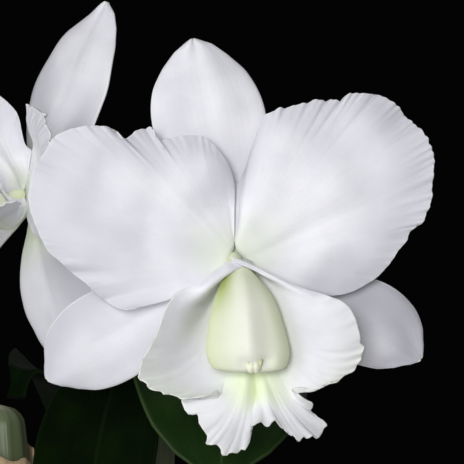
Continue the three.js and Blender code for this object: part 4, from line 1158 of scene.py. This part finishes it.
# Two copies of one skin: the second, for the leaves listed below, is far darker as painted shade for leaves
# that stand back from the lamps.
leaf_materials = (leaf_skin("lit_leaf", 0.46, 1), leaf_skin("shaded_leaf", 0.8, 0.2))
SHADED_LEAVES = (5, 6, 7)
for i, leaf in enumerate(LEAVES):
    node = f"leaf_{i + 1}"
    surface = leaf_surface(leaf, i * 5.7)
    piece = living_sheet(f"{node}_blade", surface, LEAF_GRID, MILLIMETRES, LEAF_THICK, LEAF_RIM)
    piece.data.materials.append(leaf_materials[i in SHADED_LEAVES])
    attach(piece, "root")
    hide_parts(node)

# Flower stem: a smooth green stem that rises from the third cane's head and forks into two stalks. Each stalk
# thickens into a grooved ovary, whose cup-like end carries the bloom.
FLOWERING_HEAD = Vector(CANES[2]["head"])
STEM_RADIUS = 1.9
STALK_RADIUS = 1.7
OVARY_RADIUS = 2.6
RECEPTACLE_RADIUS = 3.85
FORK = (-5, 5, 293)
STEM_GRID = (120, 36)


def above_head(rise):
    return tuple(FLOWERING_HEAD + Vector((0, 0, SEAT_GAP + rise)))


def bloom_point(bloom, out):
    return tuple(bloom_place(bloom) @ Vector((0, 0, out)) * 1000)


def stalk_radius(along, angle):
    ovary = step_between(0.3, 0.6, along)
    cup = step_between(0.90, 0.94, along)
    groove = 0.12 * ovary * math.cos(angle * 6)
    radius = STALK_RADIUS + (OVARY_RADIUS - STALK_RADIUS) * ovary + groove
    return radius + (RECEPTACLE_RADIUS - OVARY_RADIUS) * cup


def stalk_to(bloom_name, *bends):
    """A stalk's line from the fork past its bends and into the bloom from behind."""
    bloom = BLOOMS[bloom_name]
    return FORK, *bends, bloom_point(bloom, -8), bloom_point(bloom, 2.8)


stem_rods = (
    ((above_head(0), above_head(14), above_head(28), FORK, (-4.6, 3, 296)), lambda along, angle: STEM_RADIUS),
    (stalk_to("front_bloom", (2, -10, 299), (11, -28, 295)), stalk_radius),
    (stalk_to("side_bloom", (-9, 6.5, 298.5), (-18.5, 2.5, 302)), stalk_radius),
)
stem_material, tree, shader = new_material("stem", 0.45)
ribs = stretched_grain(tree, (24, 4, 1), 4.0)
skin = tinted(
    tree,
    blend_colour(tree, ribs, (0.20, 0.33, 0.09), (0.46, 0.58, 0.24)),
    (fade(tree, grain(tree, 420.0, 3.0), 0.6, 0.75), (0.30, 0.26, 0.12)),
    (fade(tree, sheet_place(tree, "Y"), 0.92, 0.96), (0.70, 0.75, 0.58)),
)
give_look(tree, shader, skin, ribs, 0.3, 0.0004)
let_light_in(shader, 0.15, 0.001)
bm = bmesh.new()
for points, radius_at in stem_rods:
    part = round_body("stem_rod", rod_surface(points, radius_at, (0.015, 0.012)), STEM_GRID, MILLIMETRES)
    bm.from_mesh(part.data)
    bpy.data.objects.remove(part)
piece = put_down(bm, "flower_stem_body", smooth=True)
piece.data.materials.append(stem_material)
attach(piece, "root")
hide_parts("flower_stem")

# Flower sheath: the flat green envelope that the flower stem grew through. It stands on the cane's head,
# round the stem, and is split open at the top.
SLEEVE_HEIGHT = 27
SLEEVE_THICK = 0.5
SLEEVE_RIM = 0.3
SLEEVE_GRID = (60, 90)
SLEEVE_RADII = reader(((0, 2.65, 0), (0.3, 3.45, 0), (0.6, 3.45, 0), (1, 2.75, 0)))


def sleeve_surface(reach, across):
    angle = across * 2.1 * math.pi
    split = 1 - 0.1 * math.cos(angle - 0.05 * math.pi) ** 8 - 0.02 * noise.noise(Vector((across * 9, 2, 0)))
    radius = SLEEVE_RADII(reach).x + 0.05 * math.sin(angle * 14) + 0.35 * across
    rise = SLEEVE_HEIGHT * reach * split
    return Vector(above_head(rise)) + Vector((radius * math.cos(angle), 1.25 * radius * math.sin(angle), 0))


piece = living_sheet("flower_sheath_wrap", sleeve_surface, SLEEVE_GRID, MILLIMETRES, SLEEVE_THICK, SLEEVE_RIM)
piece.data.materials.append(stem_material)
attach(piece, "root")
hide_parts("flower_sheath")

# Rhizome: the woody creeping stem that carries the canes and roots, ringed where old scales sat. It lies half
# sunk in the bark.
RHIZOME_RADIUS = 5
RHIZOME_HEIGHT = 106
RHIZOME_GRID = (200, 48)
RHIZOME_PATH = ((42, 38), (34, 30), (13, 17), (-8, 2), (-29, -11), (-37, -17))
RHIZOME_LINE = tuple((x, y, RHIZOME_HEIGHT) for x, y in RHIZOME_PATH)


def rhizome_radius(along, angle):
    ring = 0.25 * math.cos(along * 2 * math.pi * 13) ** 6
    lump = 0.4 * noise.noise(Vector((math.cos(angle), math.sin(angle), along * 14)))
    return RHIZOME_RADIUS * (0.9 + 0.1 * math.cos(along * 6 * math.pi)) + lump - ring


rhizome_material, tree, shader = new_material("rhizome", 0.8)
fibres = stretched_grain(tree, (40, 12, 1), 6.0)
skin = tinted(
    tree,
    blend_colour(tree, fibres, (0.10, 0.07, 0.03), (0.36, 0.28, 0.15)),
    (fade(tree, grain(tree, 130.0, 5.0), 0.5, 0.7), (0.22, 0.26, 0.09)),
)
give_look(tree, shader, skin, fibres, 0.7, 0.001)
surface = rod_surface(RHIZOME_LINE, rhizome_radius, (0.04, 0.04))
piece = round_body("rhizome_body", surface, RHIZOME_GRID, MILLIMETRES)
piece.data.materials.append(rhizome_material)
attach(piece, "root")
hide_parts("rhizome")

# Roots: thick, under a corky silver-grey skin, with a green growing tip. Two hang over the pot's rim and two
# dive into the bark.
ROOT_RADIUS = 2.1
ROOT_GRID = (160, 28)
ROOTS = (
    (
        (-27, -22, 104), (-36, -31, 110), (-50, -41, 115.8), (-57.5, -46, 110), (-59, -48, 92),
        (-57, -47.5, 72),
    ),
    ((0, -8, 104), (6, -17, 108.5), (4, -27, 110), (10, -38, 106), (13, -45, 95)),
    ((23, 12, 104), (31, 4, 108), (41, 6, 110), (49, -1, 106.5), (51, -4, 94)),
    ((24, 36, 104), (20, 49, 111), (18, 62, 116), (17, 71.4, 108), (18, 71.6, 88)),
)


def corky_root(seed):
    def radius(along, angle):
        lump = 0.28 * noise.noise(Vector((math.cos(angle) * 0.7, math.sin(angle) * 0.7, along * 22 + seed)))
        return (ROOT_RADIUS - 0.1) * (1 - 0.15 * step_between(0.9, 1, along)) + lump

    return radius


root_material, tree, shader = new_material("root", 0.85)
cork = stretched_grain(tree, (14, 30, 1), 6.0)
skin = tinted(
    tree,
    blend_colour(tree, cork, (0.38, 0.37, 0.29), (0.78, 0.78, 0.71)),
    (fade(tree, sheet_place(tree, "Y"), 0.90, 0.96), (0.24, 0.42, 0.12)),
)
give_look(tree, shader, skin, cork, 0.6, 0.0006)
for i, line in enumerate(ROOTS):
    node = f"root_{i + 1}"
    surface = rod_surface(line, corky_root(i * 4.3), (0.02, 0.04))
    piece = round_body(f"{node}_body", surface, ROOT_GRID, MILLIMETRES)
    piece.data.materials.append(root_material)
    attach(piece, "root")
    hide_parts(node)

# Pot: thrown red clay, unglazed, with a thick rim band and four drain holes round the middle of its floor.
# Its foot is flat, and salts from watering have left pale marks on it.
POT_HEIGHT = 112
POT_RIM_RADIUS = 66
POT_FOOT_RADIUS = 44
POT_WALL = 5
BAND_HEIGHT = 20
BAND_PROUD = 3
FLOOR_THICKNESS = 7
POT_SEGMENTS = 128
DRAINS = 4
DRAIN_RADIUS = 5
DRAIN_RING = 24
BAND_FOOT = POT_HEIGHT - BAND_HEIGHT
POT_SLOPE = (POT_RIM_RADIUS - BAND_PROUD - POT_FOOT_RADIUS) / BAND_FOOT


def pot_inside(height):
    return POT_FOOT_RADIUS - POT_WALL + POT_SLOPE * height


def spin_profile(bm, profile, segments):
    """Turns an open outline of (radius, height) round the Z axis into one closed skin."""
    verts = [bm.verts.new((radius, 0, height)) for radius, height in profile]
    edges = [bm.edges.new(pair) for pair in zip(verts, verts[1:])]
    bmesh.ops.spin(
        bm,
        geom=verts + edges,
        axis=(0, 0, 1),
        cent=(0, 0, 0),
        angle=2 * math.pi,
        steps=segments,
        use_merge=True,
    )
    bmesh.ops.remove_doubles(bm, verts=bm.verts, dist=1e-4)
    bmesh.ops.recalc_face_normals(bm, faces=bm.faces)


band_radius = POT_FOOT_RADIUS + POT_SLOPE * BAND_FOOT + BAND_PROUD
pot_profile = (
    (0, 0), (POT_FOOT_RADIUS - 2.5, 0), (POT_FOOT_RADIUS - 1, 0.4), (POT_FOOT_RADIUS, 1.5),
    *((POT_FOOT_RADIUS + POT_SLOPE * z, z) for z in (4, 12, 24, 40, 56, 72, 84, BAND_FOOT - 0.8)),
    (band_radius - 2.4, BAND_FOOT - 0.2), (band_radius - 1, BAND_FOOT), (band_radius - 0.2, BAND_FOOT + 0.8),
    (band_radius, BAND_FOOT + 2),
    (POT_RIM_RADIUS - 0.2, POT_HEIGHT - 4), (POT_RIM_RADIUS - 0.2, POT_HEIGHT - 2),
    (POT_RIM_RADIUS - 0.9, POT_HEIGHT - 0.6), (POT_RIM_RADIUS - 2.2, POT_HEIGHT),
    (pot_inside(POT_HEIGHT) + 1.8, POT_HEIGHT), (pot_inside(POT_HEIGHT) + 0.5, POT_HEIGHT - 0.6),
    *((pot_inside(z), z) for z in (POT_HEIGHT - 2.2, 90, 60, 30, FLOOR_THICKNESS)), (0, FLOOR_THICKNESS),
)
bm = bmesh.new()
spin_profile(bm, pot_profile, POT_SEGMENTS)
for vert in bm.verts:
    radius = math.hypot(vert.co.x, vert.co.y)
    if radius > 1 and vert.co.z > 3:
        wobble = 0.12 * noise.noise(Vector((vert.co.x / 30, vert.co.y / 30, vert.co.z / 9)))
        vert.co.x *= 1 + wobble / radius
        vert.co.y *= 1 + wobble / radius
bmesh.ops.transform(bm, matrix=MILLIMETRES, verts=bm.verts)
pot = put_down(bm, "pot_body")
bm = bmesh.new()
for k in range(DRAINS):
    angle = (k + 0.5) * 2 * math.pi / DRAINS
    spot = MILLIMETRES @ Matrix.Translation((DRAIN_RING * math.cos(angle), DRAIN_RING * math.sin(angle), 0))
    bmesh.ops.create_cone(
        bm,
        cap_ends=True,
        segments=32,
        radius1=DRAIN_RADIUS,
        radius2=DRAIN_RADIUS,
        depth=3 * FLOOR_THICKNESS,
        matrix=spot,
    )
drills = put_down(bm, "pot_drills")
cut = pot.modifiers.new("drains", "BOOLEAN")
cut.operation = "DIFFERENCE"
cut.solver = "EXACT"
cut.object = drills
bpy.context.view_layer.update()
drilled = bpy.data.meshes.new_from_object(pot.evaluated_get(bpy.context.evaluated_depsgraph_get()))
pot.modifiers.clear()
pot.data = drilled
bpy.data.objects.remove(drills)
drilled.shade_smooth()
drilled.set_sharp_from_angle(angle=math.radians(40))
clay_material, tree, shader = new_material("clay", 0.82)
sand = grain(tree, 1100.0, 3.0)
throwing = stretched_grain(tree, (6, 6, 420), 2.0, "Object")
skin = tinted(
    tree,
    blend_colour(tree, grain(tree, 28.0, 6.0), (0.34, 0.115, 0.05), (0.56, 0.235, 0.115)),
    (fade(tree, sand, 0.56, 0.72), (0.62, 0.36, 0.22)),
    (fade(tree, sheet_place(tree, "Z", "Object"), 0.045, 0.0), (0.25, 0.09, 0.045)),
    (fade(tree, grain(tree, 46.0, 8.0, 0.7), 0.56, 0.80), (0.66, 0.52, 0.43)),
)
give_look(tree, shader, skin, maths(tree, "MULTIPLY_ADD", sand, 0.4, throwing), 0.35, 0.0007)
drilled.materials.clear()
drilled.materials.append(clay_material)
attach(pot, "root")
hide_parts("pot")

# Bark: fir bark chips that fill the pot, loose on top, dark and damp between. Large chips lie as in the solid
# bed, and many small ones fill the spaces between them.
BARK_TOP = 102
CHIP_COUNT = 26
CHIP_SIZE = (26, 17, 6)
CHIP_WEAR = 0.35
SMALL_CHIPS = 170
CHIP_SEED = 17
BED_CLEARANCE = 0.6
GOLDEN_ANGLE = 2.39996


def random_stream(seed):
    state = seed
    while True:
        state = (state * 1664525 + 1013904223) % 4294967296
        yield state / 4294967296


def add_chip(bm, size, place, seed):
    """One split chip: a low seven-sided prism, each corner pushed in or out a little, its edges worn. A dict
    keeps them in the order found, so the bevel gets them alike in each run."""
    made = bmesh.ops.create_cone(bm, cap_ends=True, segments=7, radius1=0.56, radius2=0.5, depth=1)["verts"]
    for vert in made:
        push = noise.noise_vector(vert.co * 2.3 + Vector((seed, 0, 0)))
        vert.co = vert.co + Vector((push.x, push.y, push.z * 0.4)) * 0.22
    bmesh.ops.transform(bm, matrix=place @ Matrix.Diagonal((*size, 1)), verts=made)
    edges = dict.fromkeys(edge for vert in made for edge in vert.link_edges)
    bmesh.ops.bevel(
        bm,
        geom=list(edges),
        offset=CHIP_WEAR,
        offset_type="OFFSET",
        segments=1,
        profile=0.5,
        affect="EDGES",
        material=-1,
    )


bm = bmesh.new()
low = FLOOR_THICKNESS + SEAT_GAP
bed_profile = (
    (0, low), (pot_inside(low) - BED_CLEARANCE, low), (pot_inside(BARK_TOP) - BED_CLEARANCE, BARK_TOP - 1),
    (30, BARK_TOP), (0, BARK_TOP),
)
spin_profile(bm, bed_profile, 64)
# Without a seed of its own, noise_vector takes its offsets from the clock.
noise.seed_set(CHIP_SEED)
draw = random_stream(CHIP_SEED)
room = pot_inside(BARK_TOP) - 4
for k in range(CHIP_COUNT):
    distance = room * math.sqrt((k + 0.5) / CHIP_COUNT)
    angle = k * GOLDEN_ANGLE + next(draw)
    size = 0.8 + 0.5 * next(draw)
    lean_x, lean_y, heading = (next(draw) - 0.5) * 0.9, (next(draw) - 0.5) * 0.8, next(draw) * math.pi
    height = BARK_TOP + 0.4 + 1.2 * next(draw)
    turn = Matrix.Rotation(heading, 4, "Z") @ Matrix.Rotation(lean_y, 4, "Y")
    turn = turn @ Matrix.Rotation(lean_x, 4, "X")
    inward = min(1, (pot_inside(BARK_TOP) - 0.45 * CHIP_SIZE[0] * size) / max(distance, 1))
    distance *= inward
    spot = Matrix.Translation((distance * math.cos(angle), distance * math.sin(angle), height))
    chip = (CHIP_SIZE[0] * size * 0.92, CHIP_SIZE[1] * size * 0.92, CHIP_SIZE[2] * 0.9)
    add_chip(bm, chip, spot @ turn, k * 1.7)
for k in range(SMALL_CHIPS):
    distance = (room - 3) * math.sqrt((k + 0.5) / SMALL_CHIPS)
    angle = k * GOLDEN_ANGLE + 2 * next(draw)
    size = 5 + 6 * next(draw)
    turn = Matrix.Rotation(next(draw) * 6.28, 4, "Z") @ Matrix.Rotation(next(draw) - 0.5, 4, "X")
    turn = turn @ Matrix.Rotation(0.9 * next(draw) - 0.45, 4, "Y")
    height = BARK_TOP + 1.6 + 2.2 * next(draw)
    spot = Matrix.Translation((distance * math.cos(angle), distance * math.sin(angle), height))
    add_chip(bm, (size * 1.3, size * 0.8, 2.2 + 1.6 * next(draw)), spot @ turn, 60 + k * 0.9)
bmesh.ops.transform(bm, matrix=MILLIMETRES, verts=bm.verts)
piece = put_down(bm, "bark_chips")
bark_material, tree, shader = new_material("bark", 0.88)
layers = stretched_grain(tree, (320, 320, 1120), 6.0, "Object")
where = add_node(tree, "ShaderNodeTexCoord").outputs["Object"]
chips = add_node(tree, "ShaderNodeTexVoronoi", {"Vector": where, "Scale": 75.0}).outputs["Distance"]
skin = tinted(
    tree,
    blend_colour(tree, layers, (0.050, 0.024, 0.012), (0.27, 0.135, 0.065)),
    (fade(tree, chips, 0.1, 0.9), (0.34, 0.20, 0.11)),
)
give_look(tree, shader, skin, layers, 0.8, 0.0012)
piece.data.materials.append(bark_material)
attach(piece, "root")
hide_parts("bark")
